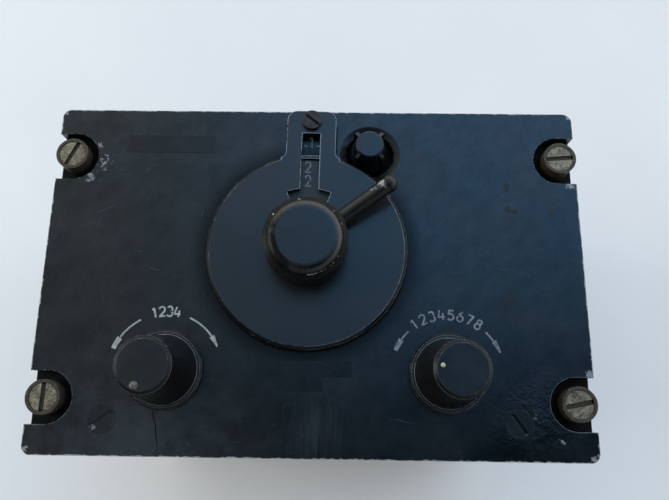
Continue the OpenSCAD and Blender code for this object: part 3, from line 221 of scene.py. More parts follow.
class Coat:
    """Node tree of one material while it is being put together."""

    # Agreement of the rounded and the flat normal, away from an edge and on it
    EDGE_SPAN = (0.985, 0.87)
    # Level at which an edge is bare, its fall with the worn share, and the softness of the break
    EDGE_LEVEL, EDGE_FALL, EDGE_SOFT = 0.72, 0.5, 0.06
    # Weight of the grain in a spot, the level at which it is bare, and the softness of the break
    SPOT_GRAIN, SPOT_LEVEL, SPOT_SOFT = 2.4, 2.82, 0.08

    def __init__(self, name: str) -> None:
        """Starts an empty tree that reads object-space coordinates.

        Args:
            name: Name of the material.
        """
        self.material = bpy.data.materials.new(name)
        self.material.use_nodes = True
        self.tree = self.material.node_tree
        self.tree.nodes.clear()
        self.add: Callable[..., Node] = partial(add_node, self.tree)
        self.coords = self.add("TexCoord").outputs["Object"]

    def edges(self, width_mm: float) -> Node:
        """Finds the corners of a solid, where a rounded normal leaves the flat one.

        Args:
            width_mm: Width of the band along an edge.

        Returns:
            Node that is 1 at an edge and 0 away from it.
        """
        rounded = self.add("Bevel", {"Radius": width_mm * MM}, samples=6)
        flat = self.add("NewGeometry").outputs["Normal"]
        along = self.add("VectorMath", {0: rounded, 1: flat}, operation="DOT_PRODUCT").outputs["Value"]
        away, there = self.EDGE_SPAN
        return self.add("MapRange", {"Value": along, "From Min": away, "From Max": there})

    def away(self, place: Place) -> NodeSocket:
        """Measures the distance in metres from a place in millimetres."""
        centre = tuple(c * MM for c in place)
        return self.add("VectorMath", {0: self.coords, 1: centre}, operation="DISTANCE").outputs["Value"]

    def tint(self, colour: Any, marks: Any, span: Point, share: float, code: str) -> Node:
        """Lays a second colour where marks are strong.

        Args:
            colour: Colour so far.
            marks: Node with the marks.
            span: Strengths at which the second colour starts and is full.
            share: Cover of the second colour where it is full.
            code: The second colour.

        Returns:
            Node with the new colour.
        """
        low, high = span
        shown = self.add("MapRange", {"Value": marks, "From Min": low, "From Max": high, "To Max": share})
        return self.add("Mix", {MIX_FACTOR: shown, MIX_A: colour, MIX_B: linear(code)}, data_type="RGBA")

    def near(self, place: Place, reach: float) -> Node:
        """Fades from 1 at a place to 0 at a reach from it, both in millimetres."""
        fade = {"Value": self.away(place), "From Max": reach * MM, "To Min": 1.0, "To Max": 0.0}
        return self.add("MapRange", fade)

    def rubbed(self, wear: Wear) -> Node:
        """Finds where a finish is worn through.

        Args:
            wear: The wear to show.

        Returns:
            Node that is 1 where the layer under the finish shows.
        """
        chips = {"Vector": self.coords, "Scale": per_metre(wear.grain_mm), "Detail": 8.0, "Roughness": 0.7}
        grain = self.add("TexNoise", chips)
        share: Any = grain
        if any(wear.lean):
            side = self.add("VectorMath", {0: self.coords, 1: wear.lean}, operation="DOT_PRODUCT")
            share = self.add("Math", {0: grain, 1: side.outputs["Value"]}, operation="ADD")
        edge = self.add("Math", {0: self.edges(wear.edge_mm), 1: share}, operation="MULTIPLY")
        start = self.EDGE_LEVEL - self.EDGE_FALL * wear.amount
        found = self.add("MapRange", {"Value": edge, "From Min": start, "From Max": start + self.EDGE_SOFT})
        for spot in wear.spots:
            close = self.near(spot.place, spot.reach)
            ragged = self.add("Math", {0: grain, 1: self.SPOT_GRAIN, 2: close}, operation="MULTIPLY_ADD")
            start = self.SPOT_LEVEL - spot.density
            bare = {"Value": ragged, "From Min": start, "From Max": start + self.SPOT_SOFT}
            patch = self.add("MapRange", bare)
            found = self.add("Math", {0: found, 1: patch}, operation="MAXIMUM")
        return found


@dataclass(frozen=True)
class Finish:
    """One finish: a base colour pair with its wear.

    Attributes:
        name: Name of the material.
        colour: Main colour.
        second: Colour that varies it.
        roughness: Middle roughness.
        metallic: Metallic value of the finish itself.
        ior: Index of refraction of a finish that isn't metal.
        specular: Strength of its mirror layer, 0.5 for a clean one.
        flank: The same on leaning faces, where grease and dirt stay, or None where it doesn't change.
        patch_mm: Size of the patches of the second colour.
        relief_mm: Size of the fine relief.
        relief_depth: Height of that relief in millimetres.
        round_mm: Radius to which an edge is eased in the render.
        wear: Wear of the finish, or None for a clean one.
    """

    name: str
    colour: str
    second: str
    roughness: float = 0.45
    metallic: float = 0.0
    ior: float = 1.5
    specular: float = 0.5
    flank: float | None = None
    patch_mm: float = 14.0
    relief_mm: float = 0.9
    relief_depth: float = 0.012
    round_mm: float = 0.2
    wear: Wear | None = None

    # Clouds between which the second colour and the roughness change, and the spread of the roughness
    COLOUR_SPAN: ClassVar[Point] = (0.36, 0.68)
    ROUGH_SPAN: ClassVar[Point] = (0.3, 0.7)
    ROUGH_SPREAD: ClassVar[Point] = (-0.07, 0.09)
    # Slope of a leaning face, and of one that counts as flat
    LEAN_SPAN: ClassVar[Point] = (0.8, 0.98)
    # Depth of bare metal below the finish, in units of the relief
    BARE_DROP: ClassVar[float] = -1.5

    def ground(self, coat: Coat) -> tuple[Any, Any, Any]:
        """Lays the finish without its wear.

        Args:
            coat: Tree to add to.

        Returns:
            Colour, roughness and relief height.
        """
        patch = {"Vector": coat.coords, "Scale": per_metre(self.patch_mm), "Detail": 6.0, "Roughness": 0.62}
        cloud = coat.add("TexNoise", patch)
        colour = coat.tint(linear(self.colour), cloud, self.COLOUR_SPAN, 1.0, self.second)
        grain = {"Vector": coat.coords, "Scale": per_metre(self.relief_mm), "Detail": 4.0}
        peel = coat.add("TexNoise", grain)
        start, end = self.ROUGH_SPAN
        low, high = (self.roughness + change for change in self.ROUGH_SPREAD)
        spread = {"Value": cloud, "From Min": start, "From Max": end, "To Min": low, "To Max": high}
        return colour, coat.add("MapRange", spread), peel

    def sheen(self, coat: Coat) -> Any:
        """Gives the strength of the mirror layer.

        Args:
            coat: Tree to add to.

        Returns:
            One value, or a node where it varies.
        """
        if self.flank is None:
            return self.specular
        up = coat.add("SeparateXYZ", {0: coat.add("NewGeometry").outputs["Normal"]}).outputs["Z"]
        low, high = self.LEAN_SPAN
        lean = {"Value": up, "From Min": low, "From Max": high, "To Min": self.flank, "To Max": self.specular}
        return coat.add("MapRange", lean)

    def build(self) -> Material:
        """Makes the material.

        Returns:
            Material with its nodes linked.
        """
        coat = Coat(self.name)
        colour, rough, height = self.ground(coat)
        shade: dict[Any, Any] = {"Metallic": self.metallic}
        if self.wear:
            worn = coat.rubbed(self.wear)
            colour = coat.tint(colour, worn, (0.0, 1.0), 1.0, self.wear.under)
            rough = coat.add("MapRange", {"Value": worn, "To Min": rough, "To Max": self.wear.roughness})
            if self.wear.metallic != self.metallic:
                bare = {"Value": worn, "To Min": self.metallic, "To Max": self.wear.metallic}
                shade["Metallic"] = coat.add("MapRange", bare)
            height = coat.add("Math", {0: worn, 1: self.BARE_DROP, 2: height}, operation="MULTIPLY_ADD")
        eased = coat.add("Bevel", {"Radius": self.round_mm * MM}, samples=4)
        bump = {"Height": height, "Normal": eased, "Distance": self.relief_depth * MM, "Strength": 1.0}
        relief = coat.add("Bump", bump)
        shade.update({"Base Color": colour, "Roughness": rough, "Normal": relief})
        if self.metallic < 0.5:
            shade.update({"IOR": self.ior, "Specular IOR Level": self.sheen(coat)})
        shader = coat.add("BsdfPrincipled", shade)
        coat.add("OutputMaterial", {"Surface": shader})
        return coat.material


class Enamel(Finish):
    """Black enamel on sheet: mottled gloss, fine dust and faint short scuffs."""

    SCUFF_LENGTH_MM = 8.0
    SCUFF_WIDTH_MM = 0.35
    SCUFF_TURNS = (0.5, 2.1)
    SCUFF_SPAN = (0.66, 0.8)
    DUST_MM = 0.6
    DUST_SPAN = (0.64, 0.78)

    def ground(self, coat: Coat) -> tuple[Any, Any, Any]:
        """Adds scuffs in two directions and dust to the mottled ground.

        Args:
            coat: Tree to add to.

        Returns:
            Colour, roughness and relief height.
        """
        colour, rough, peel = super().ground(coat)
        size = (self.SCUFF_LENGTH_MM * MM, self.SCUFF_WIDTH_MM * MM, self.SCUFF_LENGTH_MM * MM)
        for turn in self.SCUFF_TURNS:
            slant = {"Vector": coat.coords, "Rotation": (0.0, 0.0, turn), "Scale": size}
            run = coat.add("Mapping", slant, vector_type="TEXTURE")
            lines = coat.add("TexNoise", {"Vector": run, "Scale": 1.0, "Detail": 2.0})
            colour = coat.tint(colour, lines, self.SCUFF_SPAN, 0.3, "#2a2e31")
        dust = coat.add("TexNoise", {"Vector": coat.coords, "Scale": per_metre(self.DUST_MM), "Detail": 3.0})
        return coat.tint(colour, dust, self.DUST_SPAN, 0.35, "#33383b"), rough, peel


class PanelEnamel(Enamel):
    """The enamel of the front plate, with the marks of its own use."""

    COVER_AXIS = (*AXIS, FACE_MM)
    GRIME_R_MM = (27.0, 33.5)
    LAMP_PLACE = (16.0, 34.6, FACE_MM)
    LAMP_REACH_MM = 13.0
    MOTTLE_MM = (7.0, 4.5)
    MOTTLE_TURN = 0.7
    GRIME_SHEEN = 0.2
    MOTTLE_SPAN = (0.32, 0.68)
    MOTTLE_SHARES = (0.78, 1.2)
    STREAK_MM = (0.8, 16.0)
    HAZE_MM = 5.0
    # Place, reach and cover of the streaks and of the haze
    STREAKS = ((1.5, -41.0, FACE_MM), 14.0, 0.5)
    HAZE = ((-46.0, -44.0, FACE_MM), 48.0, 0.8)
    SMEAR_SPAN = (0.2, 0.5)
    # Places of rumpled paint and how far each reaches
    LIFTED = (((57.5, -37.0, FACE_MM), 14.0), ((-60.0, 31.0, FACE_MM), 10.0))
    FOLD_MM = 2.2
    FOLD_HEIGHT = 22.0

    def sheen(self, coat: Coat) -> Any:
        """Mottles the mirror layer, and dulls it in the grimy band round the cover.

        Args:
            coat: Tree to add to.

        Returns:
            Node with the strength of the mirror layer.
        """
        away = coat.away(self.COVER_AXIS)
        inner, outer = (r * MM for r in self.GRIME_R_MM)
        wide, tall = (size * MM for size in self.MOTTLE_MM)
        slant = {"Vector": coat.coords, "Rotation": (0.0, 0.0, self.MOTTLE_TURN), "Scale": (wide, tall, wide)}
        run = coat.add("Mapping", slant, vector_type="TEXTURE")
        wiped = coat.add("TexNoise", {"Vector": run, "Scale": 1.0, "Detail": 8.0, "Roughness": 0.78})
        start, end = self.MOTTLE_SPAN
        least, most = (self.specular * share for share in self.MOTTLE_SHARES)
        mottle = {"Value": wiped, "From Min": start, "From Max": end, "To Min": least, "To Max": most}
        clean = coat.add("MapRange", mottle)
        lamp = coat.near(self.LAMP_PLACE, self.LAMP_REACH_MM)
        grime = {"Value": lamp, "From Max": 0.3, "To Min": self.GRIME_SHEEN, "To Max": self.specular}
        dull = coat.add("MapRange", grime)
        band = {"Value": away, "From Min": inner, "From Max": outer, "To Min": dull, "To Max": clean}
        return coat.add("MapRange", band, interpolation_type="SMOOTHSTEP")

    def ground(self, coat: Coat) -> tuple[Any, Any, Any]:
        """Adds wiped streaks, dusty haze and lifted paint.

        Args:
            coat: Tree to add to.

        Returns:
            Colour, roughness and relief height.
        """
        colour, rough, peel = super().ground(coat)
        wide, tall = (size * MM for size in self.STREAK_MM)
        run = coat.add("Mapping", {"Vector": coat.coords, "Scale": (wide, tall, tall)}, vector_type="TEXTURE")
        lines = coat.add("TexNoise", {"Vector": run, "Scale": 1.0, "Detail": 3.0})
        haze = {"Vector": coat.coords, "Scale": per_metre(self.HAZE_MM), "Detail": 7.0, "Roughness": 0.66}
        smear = coat.add("TexNoise", haze)
        for marks, (place, reach, share) in ((lines, self.STREAKS), (smear, self.HAZE)):
            fade = coat.add("Math", {0: marks, 1: coat.near(place, reach)}, operation="MULTIPLY")
            colour = coat.tint(colour, fade, self.SMEAR_SPAN, share, "#2b3033")
        net = {"Vector": coat.coords, "Scale": per_metre(self.FOLD_MM), "Detail": 4.0, "Distortion": 1.4}
        folds = coat.add("TexNoise", net)
        relief = peel
        for place, reach in self.LIFTED:
            lifted = coat.add("Math", {0: folds, 1: coat.near(place, reach)}, operation="MULTIPLY")
            relief = coat.add("Math", {0: lifted, 1: self.FOLD_HEIGHT, 2: relief}, operation="MULTIPLY_ADD")
        return colour, rough, relief


class TuningEnamel(Enamel):
    """The enamel of the tuning knob: its top is polished by the palm, its ledge and rim are dull."""

    TOP_PLACE = (*AXIS, 122.3)
    POLISHED_MM = (9.0, 9.8)
    DOME_MM = (7.0, 7.7)
    GREASE_PLACE = (-10.5, 2.5, 121.0)
    GREASE_REACH_MM = 13.0
    GREASE_SPAN = (0.2, 0.6)
    DULL_SHEEN = 0.1
    WIPED_MM = 3.0
    # Weight of the uneven wiping and the shift that centres it
    WIPED_WEIGHT, WIPED_SHIFT = 1.6, -0.8

    def sheen(self, coat: Coat) -> Any:
        """Drops the mirror layer beyond the crease and on the greasy side.

        Args:
            coat: Tree to add to.

        Returns:
            Node with the strength of the mirror layer.
        """
        away = coat.away(self.TOP_PLACE)
        foot, side = (r * MM for r in self.DOME_MM)
        dome = coat.add("MapRange", {"Value": away, "From Min": foot, "From Max": side})
        touched = coat.near(self.GREASE_PLACE, self.GREASE_REACH_MM)
        greasy = coat.add("Math", {0: dome, 1: touched}, operation="MULTIPLY")
        cloud = {"Vector": coat.coords, "Scale": per_metre(self.WIPED_MM), "Detail": 6.0, "Roughness": 0.7}
        wiped = {0: coat.add("TexNoise", cloud), 1: self.WIPED_WEIGHT, 2: self.WIPED_SHIFT}
        uneven = coat.add("Math", wiped, operation="MULTIPLY_ADD")
        patchy = coat.add("Math", {0: uneven, 1: greasy}, operation="ADD")
        low, high = self.GREASE_SPAN
        film = {"Value": patchy, "From Min": low, "From Max": high, "To Min": self.specular}
        clean = coat.add("MapRange", film | {"To Max": self.DULL_SHEEN})
        inner, outer = (r * MM for r in self.POLISHED_MM)
        edge = {"Value": away, "From Min": inner, "From Max": outer, "To Min": clean}
        return coat.add("MapRange", edge | {"To Max": self.DULL_SHEEN})


class Wrinkle(Finish):
    """Stoved wrinkle enamel on the case: a tight net of raised folds."""

    BEND_MM = 1.2

    def ground(self, coat: Coat) -> tuple[Any, Any, Any]:
        """Replaces the soft relief by folded cells.

        Args:
            coat: Tree to add to.

        Returns:
            Colour, roughness and relief height.
        """
        colour, rough, peel = super().ground(coat)
        bend = {0: peel.outputs["Color"], 1: (self.BEND_MM * MM,) * 3, 2: coat.coords}
        bent = coat.add("VectorMath", bend, operation="MULTIPLY_ADD")
        cells = {"Vector": bent, "Scale": per_metre(self.relief_mm)}
        folds = coat.add("TexVoronoi", cells, feature="DISTANCE_TO_EDGE")
        ridge = coat.add("MapRange", {"Value": folds.outputs["Distance"], "From Max": 0.35})
        return colour, rough, ridge


class Speckled(Finish):
    """Tarnished plating: dull pits and brown specks in a paler metal, with painted shade in its hollows."""

    SPECK_MM = 0.6
    SPECK_SPAN = (0.47, 0.6)
    # Reach of the ambient occlusion that paints shade into the hollows, and the openness at which that
    # painted shade starts and is full
    HOLLOW_SHADE_MM = 1.6
    HOLLOW_SHADE_SPAN = (0.75, 0.35)

    def ground(self, coat: Coat) -> tuple[Any, Any, Any]:
        """Breaks the plating up into specks, and darkens its hollows with painted shade from ambient
        occlusion.

        Args:
            coat: Tree to add to.

        Returns:
            Colour, roughness and relief height.
        """
        colour, rough, _ = super().ground(coat)
        pits = {"Vector": coat.coords, "Scale": per_metre(self.SPECK_MM), "Detail": 5.0, "Roughness": 0.8}
        specks = coat.add("TexNoise", pits)
        colour = coat.tint(colour, specks, self.SPECK_SPAN, 0.85, "#2b2620")
        # Painted shade: the colour darkens where little of the sky reaches
        painted_hollow_shade = coat.add("AmbientOcclusion", {"Distance": self.HOLLOW_SHADE_MM * MM}, samples=6).outputs["AO"]
        return coat.tint(colour, painted_hollow_shade, self.HOLLOW_SHADE_SPAN, 0.9, "#0e0c0a"), rough, specks


class Turned(Finish):
    """Machined metal: fine tool lines round the axis."""

    TURN_SCALE = 60.0

    def ground(self, coat: Coat) -> tuple[Any, Any, Any]:
        """Draws tool lines along the axis of the piece.

        Args:
            coat: Tree to add to.

        Returns:
            Colour, roughness and relief height.
        """
        colour, rough, _ = super().ground(coat)
        along = (self.TURN_SCALE, self.TURN_SCALE, per_metre(self.relief_mm))
        run = coat.add("Mapping", {"Vector": coat.coords, "Scale": along})
        lines = coat.add("TexNoise", {"Vector": run, "Scale": 1.0, "Detail": 3.0})
        return colour, rough, lines


class Woven(Finish):
    """Laminate: a square weave under clear resin."""

    THREAD_SHARE = 0.25

    def ground(self, coat: Coat) -> tuple[Any, Any, Any]:
        """Crosses two bands of threads.

        Args:
            coat: Tree to add to.

        Returns:
            Colour, roughness and relief height.
        """
        colour, rough, _ = super().ground(coat)
        threads = {"Vector": coat.coords, "Scale": per_metre(self.relief_mm) / math.tau}
        warp = coat.add("TexWave", threads, bands_direction="X")
        weft = coat.add("TexWave", threads, bands_direction="Y")
        weave = coat.add("Math", {0: warp.outputs["Fac"], 1: weft.outputs["Fac"]}, operation="MULTIPLY")
        return coat.tint(colour, weave, (0.0, 1.0), self.THREAD_SHARE, self.second), rough, weave


@dataclass(frozen=True)
class Glass:
    """Blown bulb glass: clear, with faint draw lines.

    Attributes:
        name: Name of the material.
        colour: Tint of the glass.
        draw_mm: Size of the draw lines.
        draw_depth: Their height in millimetres.
    """

    name: str = "clear_bulb_glass"
    colour: str = "#f4f1e6"
    draw_mm: float = 2.5
    draw_depth: float = 0.01

    def build(self) -> Material:
        """Makes the material.

        Returns:
            Material with its nodes linked.
        """
        coat = Coat(self.name)
        waves = coat.add("TexNoise", {"Vector": coat.coords, "Scale": per_metre(self.draw_mm), "Detail": 2.0})
        relief = coat.add("Bump", {"Height": waves, "Distance": self.draw_depth * MM})
        shade = {"Base Color": linear(self.colour), "Roughness": 0.04, "IOR": 1.5, "Transmission Weight": 1.0}
        shader = coat.add("BsdfPrincipled", shade | {"Normal": relief})
        coat.add("OutputMaterial", {"Surface": shader})
        return coat.material


# Chipped places of the plate
PANEL_SPOTS = spots(
    FACE_MM,
    (-72.4, 46.8, 3.4, 0.8), (-63.2, 27.0, 2.4, 1.0), (-60.0, 31.5, 7.0, 0.72), (-61.5, 36.8, 4.0, 0.74),
    (71.4, 26.2, 2.8, 1.0), (72.0, -25.9, 2.4, 1.0), (-72.4, -46.8, 3.6, 0.85), (72.4, 46.6, 3.0, 0.85),
    (72.2, -46.8, 3.6, 0.85), (63.5, -42.6, 2.6, 0.75), (57.0, -36.5, 9.0, 0.5),
)
# Black air-drying enamel over aluminium: soft gloss that mirrors the sky, bare metal on every outer edge
PANEL_ENAMEL = PanelEnamel(
    "black_panel_enamel", "#050607", "#090a0c", roughness=0.25, patch_mm=16.0, relief_mm=1.1,
    relief_depth=0.01, round_mm=0.3,
    wear=Wear(
        under="#7c8185", metallic=0.3, edge_mm=0.5, amount=0.5, grain_mm=1.1, lean=(0.4, -1.0, 0.0),
        spots=PANEL_SPOTS,
    ),
)
# The same enamel run over the two plate screws when the panel was repainted, scratched on one rim
PAINTED_SCREW = Enamel(
    "painted_over_screw_enamel", "#08090a", "#101214", roughness=0.32, relief_depth=0.014,
    wear=Wear(
        under="#7c8185", metallic=0.3, amount=0.0, grain_mm=0.7,
        spots=spots(FACE_MM, (-55.3, -40.6, 2.6, 0.78)),
    ),
)
# The same enamel on the round cover, handled more: greyer, with a bright line where the bevel is rubbed,
# leaning to the right, where the line is also a painted highlight
COVER_ENAMEL = Enamel(
    "black_cover_enamel", "#0c0f12", "#12171c", roughness=0.3, flank=0.1, patch_mm=20.0, relief_depth=0.01,
    wear=Wear(under="#b4bec3", metallic=0.2, edge_mm=0.4, amount=0.56, grain_mm=3.0, lean=(4.5, 1.5, 0.0)),
)
# Enamel sprayed on the dial: flatter, so that the figures stand out
DIAL_ENAMEL = Enamel("matt_dial_enamel", "#10151a", "#181f24", roughness=0.5, relief_depth=0.006)
# Black sheet behind the notches, darkened as painted shade: dead matt, so that they look deep
SHADE_BACK_SHEET = Enamel(
    "black_backing_sheet_painted_shade", "#050506", "#0a0a0b", roughness=0.6, specular=0.1,
    wear=Wear(under="#85888a", edge_mm=0.4, amount=0.3, spots=spots(102.5, (-66.0, 28.2, 2.0, 1.0))),
)
# Moulded phenolic of the side knobs: satin black, greyed in thin broken lines on the rims that fingers touch
KNOB_PHENOLIC = Finish(
    "black_moulded_phenolic", "#090a0b", "#101112", roughness=0.3, specular=0.48, flank=0.14, patch_mm=9.0,
    relief_mm=0.6, relief_depth=0.006, round_mm=0.25,
    wear=Wear(under="#a4a8ab", metallic=0.2, roughness=0.4, edge_mm=0.24, amount=0.72, grain_mm=2.4),
)
# The same moulding on the crank's tip, polished dark by the finger
TIP_PHENOLIC = Finish(
    "black_tip_phenolic", "#060606", "#0b0b0b", roughness=0.4, specular=0.3, patch_mm=3.0,
    relief_depth=0.01,
)
# Painted highlights on the tuning knob's rim, drawn as rubbed places
RIM_HIGHLIGHT_MM = 120.2
RIM_HIGHLIGHT_SPOTS = spots(
    RIM_HIGHLIGHT_MM, (-9.8, 12.1, 1.6, 0.72), (-3.4, 16.2, 1.5, 0.62), (5.4, 13.3, 1.8, 0.72), (7.6, 9.8, 1.5, 0.72)
)
# Painted highlight along the lower right of its crease, drawn as rubbed flecks, by their angles
CREASE_R, CREASE_MM = 9.7, 120.5
CREASE_HIGHLIGHT_ANGLES = (-84, -81, -78, -75, -72, -69, -66, -63, -60, -57, -48, -45, -42, -30)
CREASE_HIGHLIGHT_SPOTS = spots(CREASE_MM, *((*polar(AXIS, CREASE_R, angle), 0.6, 0.95) for angle in CREASE_HIGHLIGHT_ANGLES))
# Painted metal of the tuning knob, rubbed bright in thin lines on its crease and rim, with painted highlights
# drawn as bright spots on both
TUNING_ENAMEL = TuningEnamel(
    "worn_tuning_knob_enamel", "#080a0b", "#121211", roughness=0.27, specular=0.46, patch_mm=7.0,
    relief_depth=0.02, round_mm=0.3,
    wear=Wear(
        under="#a9a79f", metallic=0.3, roughness=0.4, edge_mm=0.18, amount=0.24, grain_mm=2.0,
        lean=(6.0, -6.0, 0.0), spots=RIM_HIGHLIGHT_SPOTS + CREASE_HIGHLIGHT_SPOTS,
    ),
)
# Blackened steel of the crank, rubbed bright near its tip
CRANK_STEEL = Enamel(
    "blackened_crank_steel", "#090a09", "#171713", roughness=0.3, flank=0.22, patch_mm=5.0, round_mm=0.3,
    wear=Wear(
        under="#8d8d86", metallic=0.3, roughness=0.35, edge_mm=0.3, amount=0.2,
        spots=(Spot((15.6, 20.4, 116.8), 3.4, 0.8), Spot((18.2, 22.2, 117.3), 3.6, 0.96)),
    ),
)
# Moulded phenolic of the lamp cap, almost unhandled: a clean dark gloss
LAMP_PHENOLIC = Finish(
    "black_lamp_phenolic", "#06080a", "#0a0d10", roughness=0.26, flank=0.2, relief_depth=0.004,
    round_mm=0.25, wear=Wear(under="#4c5154", metallic=0.0, roughness=0.5, edge_mm=0.16, amount=0.24),
)
# Cadmium plate gone tan and grey with age
AGED_CADMIUM = Speckled(
    "aged_cadmium_plate", "#685f4e", "#9a8f79", metallic=0.7, patch_mm=1.4, relief_depth=0.09,
)
# Bronzed steel of the cups round the fasteners: dark brown, rubbed pale on the lip
BRONZED_CUP = Speckled(
    "bronzed_cup_steel", "#352e25", "#4a4134", roughness=0.55, metallic=0.4, patch_mm=2.0,
    relief_depth=0.02, wear=Wear(under="#857a69", metallic=0.5, edge_mm=0.26, amount=0.46),
)
# Blued steel screw in the tab, with bare metal left on its rim
BLUED_SCREW = Speckled(
    "blued_screw_steel", "#2c2824", "#45403a", roughness=0.42, metallic=0.7, patch_mm=1.6,
    relief_depth=0.02, wear=Wear(under="#8d8d88", edge_mm=0.2, amount=0.3),
)
# Screws and retaining rings of the set, dull but less weathered
DULL_STEEL = Speckled(
    "dull_plated_steel", "#6f6a60", "#86817a", metallic=0.8, patch_mm=2.0, relief_depth=0.02,
)
# Ground steel of the shafts: bright, with fine rings
SHAFT_STEEL = Turned(
    "ground_shaft_steel", "#9a9b9b", "#7f8182", roughness=0.28, metallic=1.0, relief_mm=0.25,
)
# Turned brass, a little browned
TURNED_BRASS = Turned("turned_brass", "#b08f4f", "#8d7240", roughness=0.34, metallic=1.0, relief_mm=0.3)
# Zinc-plated cans and pot covers: pale grey with a few dull specks
PLATED_CAN = Speckled(
    "zinc_plated_can", "#a2a4a3", "#8e9190", roughness=0.4, metallic=0.9, relief_depth=0.01,
)
# Chromate-dipped aluminium sheet: pale gold with a faint grain
CHROMATE_SHEET = Turned(
    "chromated_aluminium", "#b3a578", "#a89c7b", roughness=0.38, metallic=0.9, relief_mm=0.5,
)
# Paper laminate of the switch wafers: brown, with a faint weave
WAFER_LAMINATE = Woven("brown_paper_laminate", "#6b4a28", "#7d5a33", roughness=0.5, relief_mm=0.8)
# Glass cloth boards in green lacquer: the weave shows through
BOARD_LAMINATE = Woven("green_glass_laminate", "#2f4d2c", "#3d5f38", roughness=0.35, relief_mm=0.7)
# Varnished iron stack: dark, with the lines of its sheets
STACKED_IRON = Turned(
    "varnished_iron_stack", "#4b4742", "#5c544a", roughness=0.5, metallic=0.6, relief_mm=0.5,
)
# Wrinkle enamel of the case: folds drawn a little coarser than life so that they show
CASE_WRINKLE = Wrinkle(
    "black_wrinkle_enamel", "#0f1112", "#181a1b", roughness=0.5, relief_mm=1.3, relief_depth=0.09,
    round_mm=0.4, wear=Wear(under="#979a9b", edge_mm=0.6, amount=0.36, grain_mm=2.5),
)
# Nickel plate of the connectors: warm grey, gone dull
CONNECTOR_NICKEL = Speckled(
    "dull_nickel_plate", "#8f8e86", "#a2a199", roughness=0.36, metallic=0.95, relief_depth=0.01,
)
# Moulded insert of the connectors: plain grey green, satin
INSERT_MOULDING = Finish(
    "grey_green_insert_moulding", "#28302c", "#313a35", roughness=0.5, relief_depth=0.006,
)
# White filling paint of the left legend, greyed and chipped
LEGEND_PAINT = Finish(
    "aged_white_legend_paint", "#a3a8a0", "#747b76", roughness=0.6, patch_mm=1.4, relief_mm=0.4,
    round_mm=0.02,
)
# The same paint on the right legend, worn thin so that the black shows through
THIN_LEGEND_PAINT = Finish(
    "thin_white_legend_paint", "#7b858c", "#474f56", roughness=0.6, patch_mm=1.2, relief_mm=0.4,
    round_mm=0.02,
)
# Thin figure paint of the dial: grey and patchy
FIGURE_PAINT = Finish(
    "grey_figure_paint", "#7f8b90", "#4c575c", roughness=0.6, patch_mm=1.0, relief_mm=0.4, round_mm=0.02,
)
# Fresh flat black over the two places that are left bare
COVERING_PAINT = Enamel(
    "flat_covering_black", "#050607", "#090a0c", roughness=0.26, specular=0.4, patch_mm=5.0,
    relief_depth=0.016,
)
# Primer and bare metal that a scratch opens: thin grey lines
SCRATCH_METAL = Finish(
    "scratched_aluminium", "#4a5054", "#24292c", roughness=0.5, metallic=0.3, patch_mm=1.2,
)
# Bare aluminium on the plate's outer edges: a bright broken line
BARE_EDGE = Finish("bare_edge_aluminium", "#aab0b2", "#5c6265", metallic=0.3, patch_mm=3.0)
# Tan paint of an index mark, darkened by dirt
INDEX_TAN = Finish("tan_index_paint", "#665f52", "#2c2822", roughness=0.6, patch_mm=0.5)
# Yellow-green paint of an index mark: pale and clean
INDEX_GREEN = Finish("green_index_paint", "#7d8256", "#c9c99a", roughness=0.5, patch_mm=0.5)
# Dried dirt in the fastener slots: brown and dead matt
SLOT_DIRT = Finish("dried_brown_dirt", "#241f18", "#3a332a", roughness=0.8, patch_mm=0.8)
# Oil and dust stains: they take the shine off the enamel
STAIN = Finish("dried_oil_stain", "#060707", "#121312", roughness=0.4, specular=0.37, patch_mm=1.2)
# Packed grime in the crack of the paint, and grime with painted contact shadow along the foot of the cover:
# dead black
GRIME_AND_SHADOW = Finish("packed_grime_and_painted_shadow", "#040404", "#0a0908", roughness=0.85, specular=0.15, patch_mm=1.5)
# White laminate table top: faint cloudiness, no gloss to speak of
TABLE_LAMINATE = Finish(
    "white_table_laminate", "#ebe9e6", "#e8e6e4", roughness=0.6, patch_mm=60.0, relief_mm=0.8,
    relief_depth=0.004,
)

